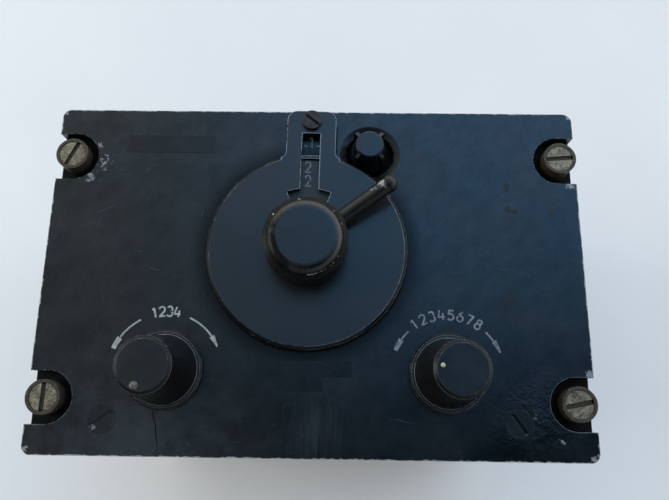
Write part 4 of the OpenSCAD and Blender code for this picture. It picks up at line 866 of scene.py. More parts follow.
NODE_FINISHES: dict[Finish | Glass, tuple[str, ...]] = {
    PANEL_ENAMEL: ("front_plate",),
    PAINTED_SCREW: ("plate_screws",),
    COVER_ENAMEL: ("selector_plate",),
    DIAL_ENAMEL: ("megahertz_dial",),
    SHADE_BACK_SHEET: ("mounting_plate",),
    KNOB_PHENOLIC: ("squelch_knob", "volume_knob"),
    TIP_PHENOLIC: ("crank_tip",),
    TUNING_ENAMEL: ("tuning_knob",),
    CRANK_STEEL: ("crank_arm",),
    LAMP_PHENOLIC: ("lamp_cap",),
    AGED_CADMIUM: ("stud_upper_left", "stud_upper_right", "stud_lower_left", "stud_lower_right"),
    BRONZED_CUP: ("stud_cups",),
    BLUED_SCREW: ("selector_plate_screw",),
    DULL_STEEL: (
        "stud_retainers", "tuning_knob_screw", "squelch_knob_screw", "volume_knob_screw", "chassis_screws",
        "case_screws",
    ),
    SHAFT_STEEL: (
        "tuning_shaft", "crank_shaft", "squelch_shaft", "volume_shaft", "detent_spring", "switch_rods",
    ),
    TURNED_BRASS: (
        "detent_wheel", "selector_bush", "selector_nut", "squelch_nut", "volume_nut", "lamp_socket",
        "power_connector_pins", "antenna_contact",
    ),
    PLATED_CAN: ("squelch_pot", "volume_pot", "shield_cans", "channel_crystals", "antenna_relay"),
    CHROMATE_SHEET: ("chassis_side_left", "chassis_side_right", "rear_plate", "board_spacers"),
    WAFER_LAMINATE: (
        "megahertz_wafer", "kilohertz_wafer", "megahertz_rotor", "kilohertz_rotor", "power_switch",
    ),
    BOARD_LAMINATE: ("transmitter_board", "receiver_board"),
    STACKED_IRON: ("modulation_transformer",),
    CASE_WRINKLE: ("case_sleeve",),
    CONNECTOR_NICKEL: ("power_connector_shell", "antenna_jack"),
    INSERT_MOULDING: ("power_connector_insert", "antenna_insulator"),
    Glass(): ("lamp_bulb",),
}


@dataclass
class FinishShelf:
    """Makes each finish once and hands it out.

    Attributes:
        made: Materials made so far.
    """

    made: dict[str, Material] = field(default_factory=dict)

    def material(self, finish: Finish | Glass) -> Material:
        """Gives the material of a finish.

        Args:
            finish: The finish wanted.

        Returns:
            Its one material.
        """
        if finish.name not in self.made:
            self.made[finish.name] = finish.build()
        return self.made[finish.name]

    def dress_nodes(self, nodes: dict[str, Object]) -> Iterator[Object]:
        """Puts each CAD node in its finish.

        Args:
            nodes: CAD objects by name.

        Yields:
            Each dressed object.
        """
        for finish, names in NODE_FINISHES.items():
            for name in names:
                mesh = nodes[name].data
                mesh.materials.clear()
                mesh.materials.append(self.material(finish))
                yield nodes[name]


def arc(centre: Point, radius: float, start: float, end: float, steps: int, flat: float = 1.0) -> list[Point]:
    """Gives the points of an arc between two angles in degrees; flat is its height over its width."""
    turns = [math.radians(start + (end - start) * i / steps) for i in range(steps + 1)]
    return [(centre[0] + radius * math.cos(t), centre[1] + radius * flat * math.sin(t)) for t in turns]


class Sketch:
    """Collects thin closed solids, drawn in millimetres, into one mesh."""

    def __init__(self, base: float = 0.0) -> None:
        """Starts an empty mesh over a base height."""
        self.base = base
        self.mesh = bmesh.new()

    def loft(self, rings: Sequence[Sequence[Place]], closed: bool = False) -> None:
        """Skins a row of equal rings of points.

        Args:
            rings: Rings of points in the row frame, each in the same order.
            closed: Whether the last ring joins the first; otherwise both ends are capped.
        """
        rows = [[self.mesh.verts.new(Vector(p) * MM) for p in ring] for ring in rings]
        count = len(rows[0])
        pairs = list(zip(rows, rows[1:])) + ([(rows[-1], rows[0])] if closed else [])
        for first, second in pairs:
            for i in range(count):
                j = (i + 1) % count
                self.mesh.faces.new((first[i], first[j], second[j], second[i]))
        if not closed:
            self.mesh.faces.new(list(reversed(rows[0])))
            self.mesh.faces.new(rows[-1])

    def slab(self, outline: Sequence[Point], high: float) -> None:
        """Adds a flat plate from the base up to a height."""
        self.loft([[(x, y, self.base + z) for x, y in outline] for z in (0.0, high)])

    def ribbon(
        self,
        path: Sequence[Point],
        width: float | Sequence[float],
        high: float = THIN,
        low: float = 0.0,
        closed: bool = False,
    ) -> None:
        """Adds a flat stroke along a path.

        Args:
            path: Points of its middle line.
            width: Its width, or the width at each point.
            high: Height of its top above the base.
            low: Height of its underside above the base.
            closed: Whether the path joins its start.
        """
        count = len(path)
        widths = [width] * count if isinstance(width, float) else width
        low, high = self.base + low, self.base + high
        rings = []
        for i, (x, y) in enumerate(path):
            before = path[(i - 1) % count] if closed or i else path[0]
            after = path[(i + 1) % count] if closed or i < count - 1 else path[-1]
            along = Vector((after[0] - before[0], after[1] - before[1]))
            along = along.normalized() if along.length else Vector((1.0, 0.0))
            side = Vector((-along.y, along.x)) * widths[i] / 2
            left, right = (x + side.x, y + side.y), (x - side.x, y - side.y)
            rings.append([(*left, high), (*left, low), (*right, low), (*right, high)])
        self.loft(rings, closed)


@dataclass(frozen=True)
class Figures:
    """Plain single-stroke figures, drawn in a box of height 1.

    Attributes:
        height: Height of a figure in millimetres.
        stroke: Width of its stroke in millimetres.
        width: Width over height, less than that of the box for narrow figures.
    """

    # Width of the box, and the step in height that keeps the tops of crossing strokes apart
    BOX: ClassVar[float] = 0.6
    STEP: ClassVar[float] = 0.002
    STROKES: ClassVar[dict[str, list[list[Point]]]] = {
        "0": [arc((0.3, 0.5), 0.3, 90, 450, 20, 1.67)],
        "1": [[(0.12, 0.8), (0.36, 1.0)], [(0.34, 1.0), (0.34, 0.0)]],
        "2": [
            arc((0.3, 0.71), 0.29, 165, -38, 11) + [(0.27, 0.26), (0.0, 0.0)],
            [(0.0, 0.03), (0.6, 0.03)],
        ],
        "3": [arc((0.29, 0.74), 0.26, 150, -80, 10) + arc((0.29, 0.27), 0.3, 80, -150, 11, 0.9)],
        "4": [[(0.47, 0.0), (0.47, 0.7)], [(0.16, 1.0), (0.0, 0.3)], [(0.0, 0.3), (0.64, 0.3)]],
        "5": [
            [(0.55, 0.97), (0.08, 0.97)],
            [(0.09, 1.0), (0.06, 0.58)] + arc((0.28, 0.32), 0.32, 118, -145, 12),
        ],
        "6": [[(0.46, 1.0), (0.22, 0.78), (0.06, 0.52)] + arc((0.3, 0.3), 0.3, 150, 510, 18)],
        "7": [[(0.0, 0.97), (0.6, 0.97)], [(0.58, 1.0), (0.2, 0.0)]],
        "8": [arc((0.3, 0.76), 0.23, -90, 270, 14), arc((0.3, 0.26), 0.28, 90, -270, 16)],
        "9": [arc((0.3, 0.7), 0.3, -25, 335, 18) + [(0.4, 0.3), (0.12, 0.02)]],
    }

    height: float
    stroke: float
    width: float = BOX

    def draw(self, sketch: Sketch, figure: str, centre: Point, turn: float, film: float) -> None:
        """Draws one figure about its middle.

        Args:
            sketch: Sketch to draw in.
            figure: A single digit.
            centre: Middle of the figure.
            turn: Angle of its upright from +Y, in degrees.
            film: Thickness of the paint.
        """
        spin = Matrix.Rotation(math.radians(turn), 2)
        wide = self.height * self.width / self.BOX
        for i, stroke in enumerate(self.STROKES[figure]):
            path = []
            for x, y in stroke:
                moved = spin @ Vector(((x - self.BOX / 2) * wide, (y - 0.5) * self.height))
                path.append((centre[0] + moved.x, centre[1] + moved.y))
            sketch.ribbon(path, self.stroke, film + self.STEP * i)


@dataclass
class Studio:
    """Camera, floor and soft light of the photograph's setting."""

    # Camera: centre, rotation vector from a straight-down view in radians, and where its view starts
    camera_place: Place = (5.89, -35.45, 271.07)
    camera_turn: Place = (-0.2479, 0.0095, 0.0132)
    near_mm: float = 10.0
    # Focal length, principal point and size of the picture in pixels, and width of the sensor
    focal_px: float = 624.0
    centre_px: Point = (328.1, 251.7)
    picture_px: Point = (669.0, 500.0)
    sensor_mm: float = 36.0
    # Sky: brightness of full white, and the direction, span and kind of each change of colour
    sky_strength: float = 2.2
    sky_spans: tuple[tuple[str, Point, str], ...] = (
        ("X", (-0.3, 0.06), "SMOOTHSTEP"),
        ("Y", (-0.1, 0.4), "SMOOTHSTEP"),
        ("X", (-0.8, 0.8), "LINEAR"),
        ("Y", (-0.5, 0.3), "LINEAR"),
        ("Z", (0.6, 0.84), "SMOOTHSTEP"),
    )
    # Key light: power in watts, place, width, and the place that it points at
    key_power: float = 3.6
    key_place: Place = (-950.0, 50.0, 500.0)
    key_size: float = 600.0
    key_aim: Place = (0.0, 0.0, 100.0)
    floor_half: float = 2000.0

    def camera(self) -> None:
        """Sets the camera where the photograph was taken."""
        data = bpy.data.cameras.new("photo_camera")
        data.sensor_fit = "HORIZONTAL"
        data.sensor_width = self.sensor_mm
        data.lens = self.focal_px * self.sensor_mm / self.picture_px[0]
        data.shift_x = (self.picture_px[0] / 2 - self.centre_px[0]) / self.picture_px[0]
        data.shift_y = (self.centre_px[1] - self.picture_px[1] / 2) / self.picture_px[0]
        data.clip_start = self.near_mm * MM
        turn = Vector(self.camera_turn)
        look = Matrix.Rotation(turn.length, 3, turn) @ Matrix.Diagonal((1.0, -1.0, -1.0))
        axes = Matrix((look[0], -look[1], -look[2])).transposed()
        made = bpy.data.objects.new("photo_camera", data)
        made.matrix_world = Matrix.Translation(Vector(self.camera_place) * MM) @ axes.to_4x4()
        bpy.context.scene.collection.objects.link(made)
        bpy.context.scene.camera = made

    def sky(self) -> None:
        """Lights the scene with a soft sky: grey to the left, blue to the right, darker towards the front."""
        world = bpy.data.worlds.new("soft_sky")
        world.use_nodes = True
        tree = world.node_tree
        tree.nodes.clear()
        add = partial(add_node, tree)
        way = add("SeparateXYZ", {0: add("TexCoord").outputs["Generated"]}).outputs
        fades = []
        for axis, (low, high), kind in self.sky_spans:
            span = {"Value": way[axis], "From Min": low, "From Max": high}
            fades.append(add("MapRange", span, interpolation_type=kind))
        across, back, sideways, around, up = fades
        sky: list[Any] = []
        for factor, first, second in (
            (back, "#00141e", "#86c6ff"),
            (back, "#5d676c", "#87969d"),
            (sideways, "#3c3936", "#a0a4a9"),
            (sideways, "#dcd9d5", "#ffffff"),
        ):
            ends = {MIX_FACTOR: factor, MIX_A: linear(first), MIX_B: linear(second)}
            sky.append(add("Mix", ends, data_type="RGBA"))
        # Overhead from left to right, the ring round it from front to back, and then the one into the other
        for factor, first, second in ((across, 1, 0), (around, 2, 3), (up, 5, 4)):
            ends = {MIX_FACTOR: factor, MIX_A: sky[first], MIX_B: sky[second]}
            sky.append(add("Mix", ends, data_type="RGBA"))
        shade = add("Background", {"Color": sky[-1], "Strength": self.sky_strength})
        add("OutputWorld", {"Surface": shade})
        bpy.context.scene.world = world

    def key(self) -> None:
        """Adds the soft key light low on the left."""
        data = bpy.data.lights.new("key_light", "AREA")
        data.shape = "DISK"
        data.size = self.key_size * MM
        data.energy = self.key_power
        made = bpy.data.objects.new("key_light", data)
        aim = Vector(self.key_aim) - Vector(self.key_place)
        made.location = Vector(self.key_place) * MM
        made.rotation_euler = aim.to_track_quat("-Z", "Y").to_euler()
        bpy.context.scene.collection.objects.link(made)

    def floor(self, shelf: FinishShelf) -> None:
        """Lays the plain pale table top.

        Args:
            shelf: Shelf that makes its finish.
        """
        half = self.floor_half * MM
        corners = [(x * half, y * half, 0.0) for x, y in ((-1, -1), (1, -1), (1, 1), (-1, 1))]
        data = bpy.data.meshes.new("table_top")
        data.from_pydata(corners, [], [(0, 1, 2, 3)])
        data.materials.append(shelf.material(TABLE_LAMINATE))
        made = bpy.data.objects.new("table_top", data)
        bpy.context.scene.collection.objects.link(made)
        made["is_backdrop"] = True

    def build(self, shelf: FinishShelf) -> None:
        """Sets up camera, sky, key light and floor.

        Args:
            shelf: Shelf that makes the floor's finish.
        """
        self.camera()
        self.sky()
        self.key()
        self.floor(shelf)
        bpy.context.scene.view_settings.view_transform = "Standard"


@dataclass
class Assembly:
    """Pieces that are added to one part of the set.

    Attributes:
        shelf: Shelf that makes their finishes.
        face: Height of the plate's face.
    """

    shelf: FinishShelf
    face: float

    def piece(
        self,
        sketch: Sketch,
        name: str,
        finish: Finish,
        slot: Slot,
        body: Body = Body.CHASSIS,
        smooth: bool = False,
    ) -> Object:
        """Turns a sketch into a dressed piece that rides on a body.

        Args:
            sketch: The sketch, which is used up.
            name: Name of the piece.
            finish: Its finish.
            slot: Record slot that the finish belongs to; not used.
            body: Body that carries it.
            smooth: Whether its faces shade as one curved surface.

        Returns:
            The new object.
        """
        bmesh.ops.recalc_face_normals(sketch.mesh, faces=sketch.mesh.faces)
        data = bpy.data.meshes.new(name)
        sketch.mesh.to_mesh(data)
        sketch.mesh.free()
        for face in data.polygons:
            face.use_smooth = smooth
        data.materials.append(self.shelf.material(finish))
        made = bpy.data.objects.new(name, data)
        bpy.context.scene.collection.objects.link(made)
        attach(made, body.value)
        return made


@dataclass
class KnobScale(Assembly):
    """White marks on the plate round one side knob.

    Attributes:
        name: Start of the names of its pieces.
        knob: CAD node of the knob.
        sweeps: Upper and lower end angle of each arc, in degrees.
        tips: Half width of each arrow at its far end.
        numbers: Plain figures between the arcs.
        span: Angles of the first and last figure.
        paint: Paint of the marks.
        stroke: Width of the stroke of the figures.
    """

    name: str
    knob: str
    sweeps: tuple[Point, Point]
    tips: Point
    numbers: str
    span: Point
    paint: Finish
    stroke: float
    # Arcs, length and width of the arrowheads and their overlap with the arcs in degrees
    radius: float = 14.8
    line_w: float = 0.45
    head_l: float = 3.2
    head_w: float = 1.4
    lap: float = 0.2
    # Radius and height of the figures, and thickness of the paint
    number_radius: float = 15.3
    number_h: float = 2.6
    film: float = 0.03

    def build(self) -> Iterator[Object]:
        """Draws the arcs, their arrowheads and the figures.

        Yields:
            The two pieces.
        """
        centre = middle(self.knob)
        sketch = Sketch(self.face)
        for (upper, lower), tip in zip(self.sweeps, self.tips):
            sign = 1 if lower > upper else -1
            neck = lower - sign * math.degrees(self.head_l / self.radius)
            sketch.ribbon(arc(centre, self.radius, upper, neck, steps=12), self.line_w, self.film)
            head = arc(centre, self.radius, neck - sign * self.lap, lower, steps=6)
            taper = [self.head_w + (2 * tip - self.head_w) * i / (len(head) - 1) for i in range(len(head))]
            sketch.ribbon(head, taper, self.film)
        yield self.piece(sketch, self.name + "_scale_arcs", self.paint, Slot.DIAL)
        sketch = Sketch(self.face)
        figures = Figures(self.number_h, self.stroke)
        first, last = self.span
        for i, figure in enumerate(self.numbers):
            angle = first + (last - first) * i / (len(self.numbers) - 1)
            spot = polar(centre, self.number_radius, angle)
            figures.draw(sketch, figure, spot, angle - 90, self.film)
        yield self.piece(sketch, self.name + "_scale_numbers", self.paint, Slot.DIAL)


@dataclass
class PanelFace(Assembly):
    """Marks of age on the front plate, and the two places left bare."""

    # Outlines of the bare places, and thickness of the paint on them
    labels: tuple[tuple[Point, ...], ...] = (
        ((-53.5, 34.7), (-28.6, 34.7), (-28.6, 40.1), (-53.5, 40.1)),
        (
            (-14.3, -27.3), (-7.0, -27.3), (-7.0, -31.0), (3.0, -31.0),
            (3.0, -27.3), (10.5, -27.3), (10.5, -23.2), (-14.3, -23.2),
        ),
    )
    film: float = 0.04
    # Seed of all the random marks
    seed: int = 7
    # Ends and width of each long scratch
    scratches: tuple[tuple[Point, Point, float], ...] = (
        ((-61.5, 15.6), (-54.2, 19.6), 0.16),
        ((-58.8, 16.2), (-59.6, 12.0), 0.12),
        ((-44.5, 1.2), (-41.0, 0.4), 0.22),
        ((-49.0, 6.0), (-46.0, 5.6), 0.12),
        ((20.0, -37.5), (27.0, -38.6), 0.16),
        ((46.0, 3.0), (58.0, 0.5), 0.1),
        ((14.0, -14.0), (17.5, -9.0), 0.1),
    )
    # Fine scratches: number, half of their field, direction in radians with its spread, lengths and widths
    fine_count: int = 46
    fine_field: Point = (68.0, 44.0)
    fine_turn: Point = (0.3, 0.8)
    fine_length: Point = (0.8, 4.5)
    fine_width: Point = (0.05, 0.12)
    # Any scratch: spread about its line, least width, change of width, and cut at each end of its arch
    wander: float = 0.12
    least_w: float = 0.02
    vary_w: Point = (0.6, 1.2)
    arch_cut: float = 0.08
    # Start, direction, length, inward side and worn share of each straight edge
    edges: tuple[tuple[Point, Point, float, Point, float], ...] = (
        ((-70.4, -47.62), (1.0, 0.0), 140.8, (0.0, 1.0), 0.9),
        ((-70.4, 47.62), (1.0, 0.0), 140.8, (0.0, -1.0), 0.62),
        ((-73.02, -26.4), (0.0, 1.0), 52.8, (1.0, 0.0), 0.2),
        ((73.02, -26.4), (0.0, 1.0), 52.8, (-1.0, 0.0), 0.6),
        ((-73.02, -45.0), (0.0, 1.0), 4.6, (1.0, 0.0), 0.7),
        ((-73.02, 40.4), (0.0, 1.0), 4.6, (1.0, 0.0), 0.7),
        ((73.02, -45.0), (0.0, 1.0), 4.6, (-1.0, 0.0), 0.7),
        ((73.02, 40.4), (0.0, 1.0), 4.6, (-1.0, 0.0), 0.7),
    )
    # Bare runs on them: lengths, gaps, what the worn share is added to or taken from for each of the two,
    # widths, width at an end, step and inset
    run_length: Point = (0.8, 7.0)
    run_gap: Point = (0.3, 5.0)
    run_share: Point = (0.4, 1.3)
    run_width: Point = (0.08, 0.34)
    run_tail: float = 0.03
    run_step: float = 0.5
    run_inset: float = 0.02
    # Points and widths of the crack in the paint
    crack: tuple[Point, ...] = (
        (-40.4, -36.4), (-40.0, -38.2), (-39.3, -39.9), (-39.1, -42.4), (-38.5, -44.6), (-38.6, -47.3),
    )
    crack_widths: tuple[float, ...] = (0.16, 0.3, 0.26, 0.3, 0.2, 0.12)
    # Place, half width and half height of each stain, their change along the rim, and their thickness
    stains: tuple[tuple[Point, float, float], ...] = (
        ((53.5, 25.3), 0.9, 1.4),
        ((53.4, 18.9), 1.1, 1.0),
        ((55.2, 18.2), 1.0, 0.8),
        ((65.5, 17.8), 0.8, 0.6),
        ((53.0, -6.6), 0.9, 0.8),
        ((60.5, -16.0), 0.8, 0.7),
        ((-13.4, -33.2), 0.5, 0.4),
        ((-9.0, -39.4), 0.35, 0.6),
    )
    stain_rim: Point = (0.75, 1.2)
    stain_film: float = 0.01
    # Dried drip: middle, radius, end angles, steps and height over width; its width and the change of it
    drip: tuple[Point, float, float, float, int, float] = ((-6.0, -36.2), 1.0, 40.0, 265.0, 16, 2.0)
    drip_width: Point = (0.2, 0.14)
    # Place and reach of what stands on the plate; the notches' distance across and up, and half height
    controls: tuple[tuple[Point, float], ...] = (
        (AXIS, 29.0),
        ((-38.2, -26.0), 18.5),
        ((35.6, -26.0), 18.5),
        ((15.4, 34.6), 10.0),
        ((-1.0, 40.0), 10.0),
    )
    notches: Place = (60.0, 33.3, 8.0)

    def build(self) -> Iterator[Object]:
        """Makes the bare places, scratches, bare edges, stains and crack.

        Yields:
            Each piece.
        """
        sketch = Sketch(self.face)
        for outline in self.labels:
            sketch.slab(outline, self.film)
        yield self.piece(sketch, "bare_label_places", COVERING_PAINT, Slot.PANEL)
        draw = random.Random(self.seed)
        sketch = Sketch(self.face)
        for start, end, width in self.scratches:
            self.scratch(sketch, draw, start, end, width)
        wide, high = self.fine_field
        for _ in range(self.fine_count):
            start = (draw.uniform(-wide, wide), draw.uniform(-high, high))
            angle, length = draw.gauss(*self.fine_turn), draw.uniform(*self.fine_length)
            end = (start[0] + length * math.cos(angle), start[1] + length * math.sin(angle))
            if self.clear(start) and self.clear(end):
                self.scratch(sketch, draw, start, end, draw.uniform(*self.fine_width))
        yield self.piece(sketch, "panel_scratches", SCRATCH_METAL, Slot.BARE_PLATE)
        sketch = Sketch(self.face)
        self.bare_edges(sketch, draw)
        yield self.piece(sketch, "panel_bare_edges", BARE_EDGE, Slot.BARE_PLATE)
        sketch = Sketch(self.face)
        drip = arc(*self.drip)
        width, change = self.drip_width
        sketch.ribbon(drip, [width + change * math.sin(3 * i) for i in range(len(drip))])
        vary = partial(draw.uniform, *self.stain_rim)
        for (x, y), wide, high in self.stains:
            rim = arc((0.0, 0.0), 1.0, 0, 360, steps=18)[:-1]
            sketch.slab([(x + px * wide * vary(), y + py * high * vary()) for px, py in rim], self.stain_film)
        yield self.piece(sketch, "panel_stains", STAIN, Slot.PANEL)
        sketch = Sketch(self.face)
        sketch.ribbon(self.crack, self.crack_widths)
        yield self.piece(sketch, "panel_paint_crack", GRIME_AND_SHADOW, Slot.PANEL)

    def bare_edges(self, sketch: Sketch, draw: random.Random) -> None:
        """Draws the broken bright line where the paint has gone from the plate's outer edges.

        Args:
            sketch: Sketch to draw in.
            draw: Source of the breaks and widths.
        """
        more, less = self.run_share
        for (x, y), (dx, dy), length, (inx, iny), share in self.edges:
            at = 0.0
            while at < length:
                run = min(draw.uniform(*self.run_length) * (more + share), length - at)
                steps = max(3, round(run / self.run_step))
                path, widths = [], []
                for i in range(steps + 1):
                    along = at + run * i / steps
                    width = draw.uniform(*self.run_width) if 0 < i < steps else self.run_tail
                    inset = width / 2 + self.run_inset
                    path.append((x + dx * along + inx * inset, y + dy * along + iny * inset))
                    widths.append(width)
                sketch.ribbon(path, widths)
                at += run + draw.uniform(*self.run_gap) * (less - share)

    def clear(self, spot: Point) -> bool:
        """Tells whether a spot of the plate lies clear of the controls.

        Args:
            spot: Place on the plate.

        Returns:
            True where nothing stands on the plate.
        """
        across, up, half = self.notches
        notch = abs(spot[0]) > across and abs(abs(spot[1]) - up) < half
        return not notch and all(math.dist(spot, place) > reach for place, reach in self.controls)

    def scratch(self, sketch: Sketch, draw: random.Random, start: Point, end: Point, width: float) -> None:
        """Draws one scratch that thins out at both ends.

        Args:
            sketch: Sketch to draw in.
            draw: Source of its small wander.
            start: First end.
            end: Last end.
            width: Width in the middle.
        """
        steps = 6
        path, widths = [], []
        for i in range(steps + 1):
            t = i / steps
            wander = draw.gauss(0, self.wander) if 0 < i < steps else 0.0
            path.append((start[0] + (end[0] - start[0]) * t, start[1] + (end[1] - start[1]) * t + wander))
            arch = math.sin(math.pi * (self.arch_cut + (1 - 2 * self.arch_cut) * t))
            widths.append(max(self.least_w, width * arch * draw.uniform(*self.vary_w)))
        sketch.ribbon(path, widths)


@dataclass
class CoverFoot(Assembly):
    """Grime and painted contact shadow along the foot of the round cover, and paint in the joints of the
    plate screws.
    """

    # Dark line round the cover, grime and painted shadow: its radius, its angles, its width and the change of
    # it, and the two waves of that
    line_r: float = 27.25
    sweep: Point = (112.0, 400.0)
    line_w: Point = (0.5, 0.22)
    line_waves: Point = (0.37, 0.11)
    # Dark lines beside the tab, grime and painted shadow: distance from its middle, height of each foot,
    # heights above that, and widths
    tab_off: float = 7.05
    tab_feet: Point = (28.4, 28.8)
    tab_rise: Point = (33.0, 37.0)
    tab_widths: Place = (0.3, 0.4, 0.3)
    # Place and angle of each screw slot, and the depths between which paint fills it
    slots: tuple[tuple[Point, float, float, float], ...] = (
        ((-53.35, -38.525), 37.0, 0.6, 0.16),
        ((53.35, -38.525), -55.0, 0.85, 0.6),
    )
    # Half length and width of that paint, and radius, width and depth of the joint round a screw
    slot_half: float = 2.95
    slot_w: float = 0.86
    joint_r: float = 3.42
    joint_w: float = 0.7
    joint_depth: float = 0.02

    def build(self) -> Iterator[Object]:
        """Lays the lines of grime and painted shadow, and fills the joints.

        Yields:
            The two pieces.
        """
        # Grime and painted contact shadow: dark ribbons round the cover's foot and beside its tab
        sketch = Sketch(self.face)
        line = arc(AXIS, self.line_r, *self.sweep, steps=96)
        width, change = self.line_w
        long, short = self.line_waves
        waves = [math.sin(long * i) * math.sin(short * i) for i in range(len(line))]
        sketch.ribbon(line, [width + change * wave for wave in waves])
        spin = Matrix.Rotation(math.radians(COVER_TURN), 2)
        for side, low in zip((-1, 1), self.tab_feet):
            ends = [spin @ Vector((side * self.tab_off, up)) for up in (low, *self.tab_rise)]
            sketch.ribbon([(AXIS[0] + end.x, AXIS[1] + end.y) for end in ends], self.tab_widths)
        yield self.piece(sketch, "cover_foot_grime_and_shadow", GRIME_AND_SHADOW, Slot.PANEL)
        sketch = Sketch(self.face)
        for place, angle, low, high in self.slots:
            path = [polar(place, self.slot_half * t, angle) for t in (-1, 0, 1)]
            sketch.ribbon(path, self.slot_w, -high, -low)
            ring = arc(place, self.joint_r, 0, 360, steps=40)[:-1]
            sketch.ribbon(ring, self.joint_w, low=-self.joint_depth, closed=True)
        yield self.piece(sketch, "screw_joint_paint", PAINTED_SCREW, Slot.PANEL)


@dataclass
class SlotDirt(Assembly):
    """Dirt dried in the slot of one quarter-turn fastener.

    Attributes:
        node: CAD node of the fastener.
        body: Body of the fastener.
        angle: Direction of the slot, in degrees.
        reach: Half length of the dirt.
        width: Its width.
        depths: Depth of its top and of its underside in the head.
    """

    node: str
    body: Body
    angle: float
    reach: float = 3.4
    width: float = 1.16
    depths: Point = (0.45, 1.29)

    def build(self) -> Iterator[Object]:
        """Fills the lower part of the slot.

        Yields:
            The piece.
        """
        centre = middle(self.node)
        path = [polar(centre, self.reach * t, self.angle) for t in (-1.0, -0.5, 0.0, 0.5, 1.0)]
        sketch = Sketch(top_of(self.node))
        high, low = self.depths
        sketch.ribbon(path, self.width, -high, -low)
        yield self.piece(sketch, self.node + "_slot_dirt", SLOT_DIRT, Slot.FASTENER, self.body)


@dataclass
class Selector(Assembly):
    """Figures of the tuning selector: one fixed on the plate, the rest on the dial."""

    # Fixed figure: size and middle; the dashes beside it: place up, places across, half length and width
    fixed: Figures = Figures(height=3.2, stroke=0.42)
    fixed_place: Point = (-1.1, 38.2)
    dash_up: float = 37.1
    dash_across: Point = (-2.75, 0.75)
    dash_half: float = 0.45
    dash_w: float = 0.4
    # Dial: first number, the one in the slot at rest, count, and turn against the cover at rest in degrees
    first: int = 18
    shown: int = 22
    count: int = 18
    lean: float = 1.6
    # Size of the dial's figures, radii of tens and units, and thickness of the paint
    ring: Figures = Figures(height=3.2, stroke=0.3, width=0.47)
    ring_radii: Point = (23.65, 19.6)
    film: float = 0.03

    def build(self) -> Iterator[Object]:
        """Draws the fixed figure and the ring of figures.

        Yields:
            The two pieces.
        """
        sketch = Sketch(self.face)
        self.fixed.draw(sketch, "1", self.fixed_place, COVER_TURN, self.film)
        for x in self.dash_across:
            ends = [(x - self.dash_half, self.dash_up), (x + self.dash_half, self.dash_up)]
            sketch.ribbon(ends, self.dash_w, self.film)
        yield self.piece(sketch, "fixed_window_figure", LEGEND_PAINT, Slot.DIAL)
        sketch = Sketch(top_of("megahertz_dial"))
        for i in range(self.count):
            angle = 90 + COVER_TURN + self.lean + (self.shown - self.first - i) * 360 / self.count
            for figure, radius in zip(str(self.first + i), self.ring_radii):
                self.ring.draw(sketch, figure, polar(AXIS, radius, angle), angle - 90, self.film)
        yield self.piece(sketch, "dial_figures", FIGURE_PAINT, Slot.DIAL, Body.CRANK)


@dataclass
class IndexMark(Assembly):
    """Painted index mark on the top of a side knob.

    Attributes:
        name: Name of the piece.
        knob: CAD node of the knob.
        body: Body of the knob.
        finish: Paint of the mark.
        angle: Direction from the knob axis, in degrees.
        radius: Distance from the axis.
        size: Radius of the mark.
        profile: Share of that radius, and height above the knob, from the foot of the dome up.
    """

    name: str
    knob: str
    body: Body
    finish: Finish
    angle: float
    radius: float
    size: float
    profile: tuple[Point, ...] = ((1.0, -0.05), (1.0, 0.0), (0.8, 0.03), (0.4, 0.045))

    def build(self) -> Iterator[Object]:
        """Makes the low domed mark.

        Yields:
            The piece.
        """
        centre, top = polar(middle(self.knob), self.radius, self.angle), top_of(self.knob)
        rings = []
        for share, lift in self.profile:
            rim = arc(centre, self.size * share, 0, 360, steps=20)[:-1]
            rings.append([(*spot, top + lift) for spot in rim])
        sketch = Sketch()
        sketch.loft(rings)
        yield self.piece(sketch, self.name, self.finish, Slot.KNOB, self.body, smooth=True)


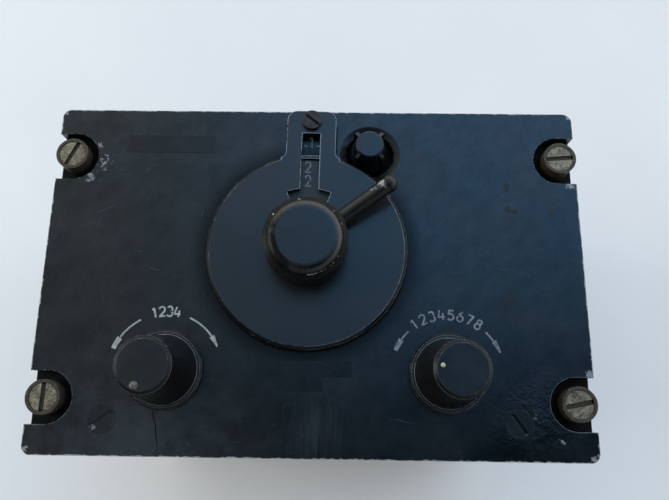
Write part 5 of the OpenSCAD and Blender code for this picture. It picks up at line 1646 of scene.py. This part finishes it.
@dataclass
class JackThread(Assembly):
    """Outside thread of the antenna jack."""

    # Barrel, and its plain length at the mouth
    node: str = "antenna_jack"
    barrel_r: float = 5.55
    end_gap: float = 0.6
    # Ridge: sink and half width in pitches of its foot, and least share of its depth, where it runs out
    pitch: float = 0.85
    depth: float = 0.3
    sink: float = 0.05
    foot: float = 0.42
    least: float = 0.05
    turns: int = 7
    steps: int = 36

    def build(self) -> Iterator[Object]:
        """Winds a sharp ridge round the barrel.

        Yields:
            The piece.
        """
        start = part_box(self.node)[0].z / MM + self.end_gap
        centre, half = middle(self.node), self.pitch * self.foot
        total = self.turns * self.steps
        rings = []
        for i in range(total + 1):
            rise = start + self.pitch * i / self.steps
            crest = self.depth * max(self.least, min(1.0, i / self.steps, (total - i) / self.steps))
            section = ((-self.sink, -half), (crest, 0.0), (-self.sink, half))
            angle = 360 * i / self.steps
            rings.append([(*polar(centre, self.barrel_r + out, angle), rise + up) for out, up in section])
        sketch = Sketch()
        sketch.loft(rings)
        yield self.piece(sketch, "antenna_jack_thread", CONNECTOR_NICKEL, Slot.CONNECTOR)


def write_sizes(cad_box: tuple[Vector, Vector]) -> None:
    """Gathers the CAD box and the visual model's box, without writing them.

    Args:
        cad_box: Corners of the CAD model.
    """
    boxes = {"cad": [list(c) for c in cad_box], "visual": [list(c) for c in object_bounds()]}


def main() -> None:
    """Loads the frame, then builds and dresses each sub-assembly in order."""
    logging.basicConfig(level=logging.INFO, format="%(message)s")
    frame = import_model()
    cad_box = tuple(corner.copy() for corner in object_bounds())
    shelf = FinishShelf()
    Studio().build(shelf)
    for node in shelf.dress_nodes(frame["nodes"]):
        LOG.info("dressed %s", node.name)
    on = (shelf, top_of("front_plate"))
    assemblies = (
        PanelFace(*on),
        CoverFoot(*on),
        KnobScale(
            *on,
            name="squelch",
            knob="squelch_knob",
            sweeps=((119, 159), (67, 24)),
            tips=(0.6, 0.15),
            numbers="1234",
            span=(104, 81),
            paint=LEGEND_PAINT,
            stroke=0.5,
        ),
        KnobScale(
            *on,
            name="volume",
            knob="volume_knob",
            sweeps=((133, 157), (47, 22)),
            tips=(0.55, 0.2),
            numbers="12345678",
            span=(124, 57),
            paint=THIN_LEGEND_PAINT,
            stroke=0.44,
        ),
        Selector(*on),
        IndexMark(*on, "squelch_index", "squelch_knob", Body.SQUELCH, INDEX_TAN, -108, 5.0, 1.0),
        IndexMark(*on, "volume_index", "volume_knob", Body.VOLUME, INDEX_GREEN, 170, 4.7, 0.55),
        SlotDirt(*on, "stud_upper_left", Body.UPPER_LEFT, 65),
        SlotDirt(*on, "stud_upper_right", Body.UPPER_RIGHT, 5),
        SlotDirt(*on, "stud_lower_left", Body.LOWER_LEFT, 89),
        SlotDirt(*on, "stud_lower_right", Body.LOWER_RIGHT, 12),
        JackThread(*on),
    )
    for assembly in assemblies:
        for piece in assembly.build():
            LOG.info("made %s", piece.name)
    write_sizes(cad_box)


if __name__ == "__main__":
    main()
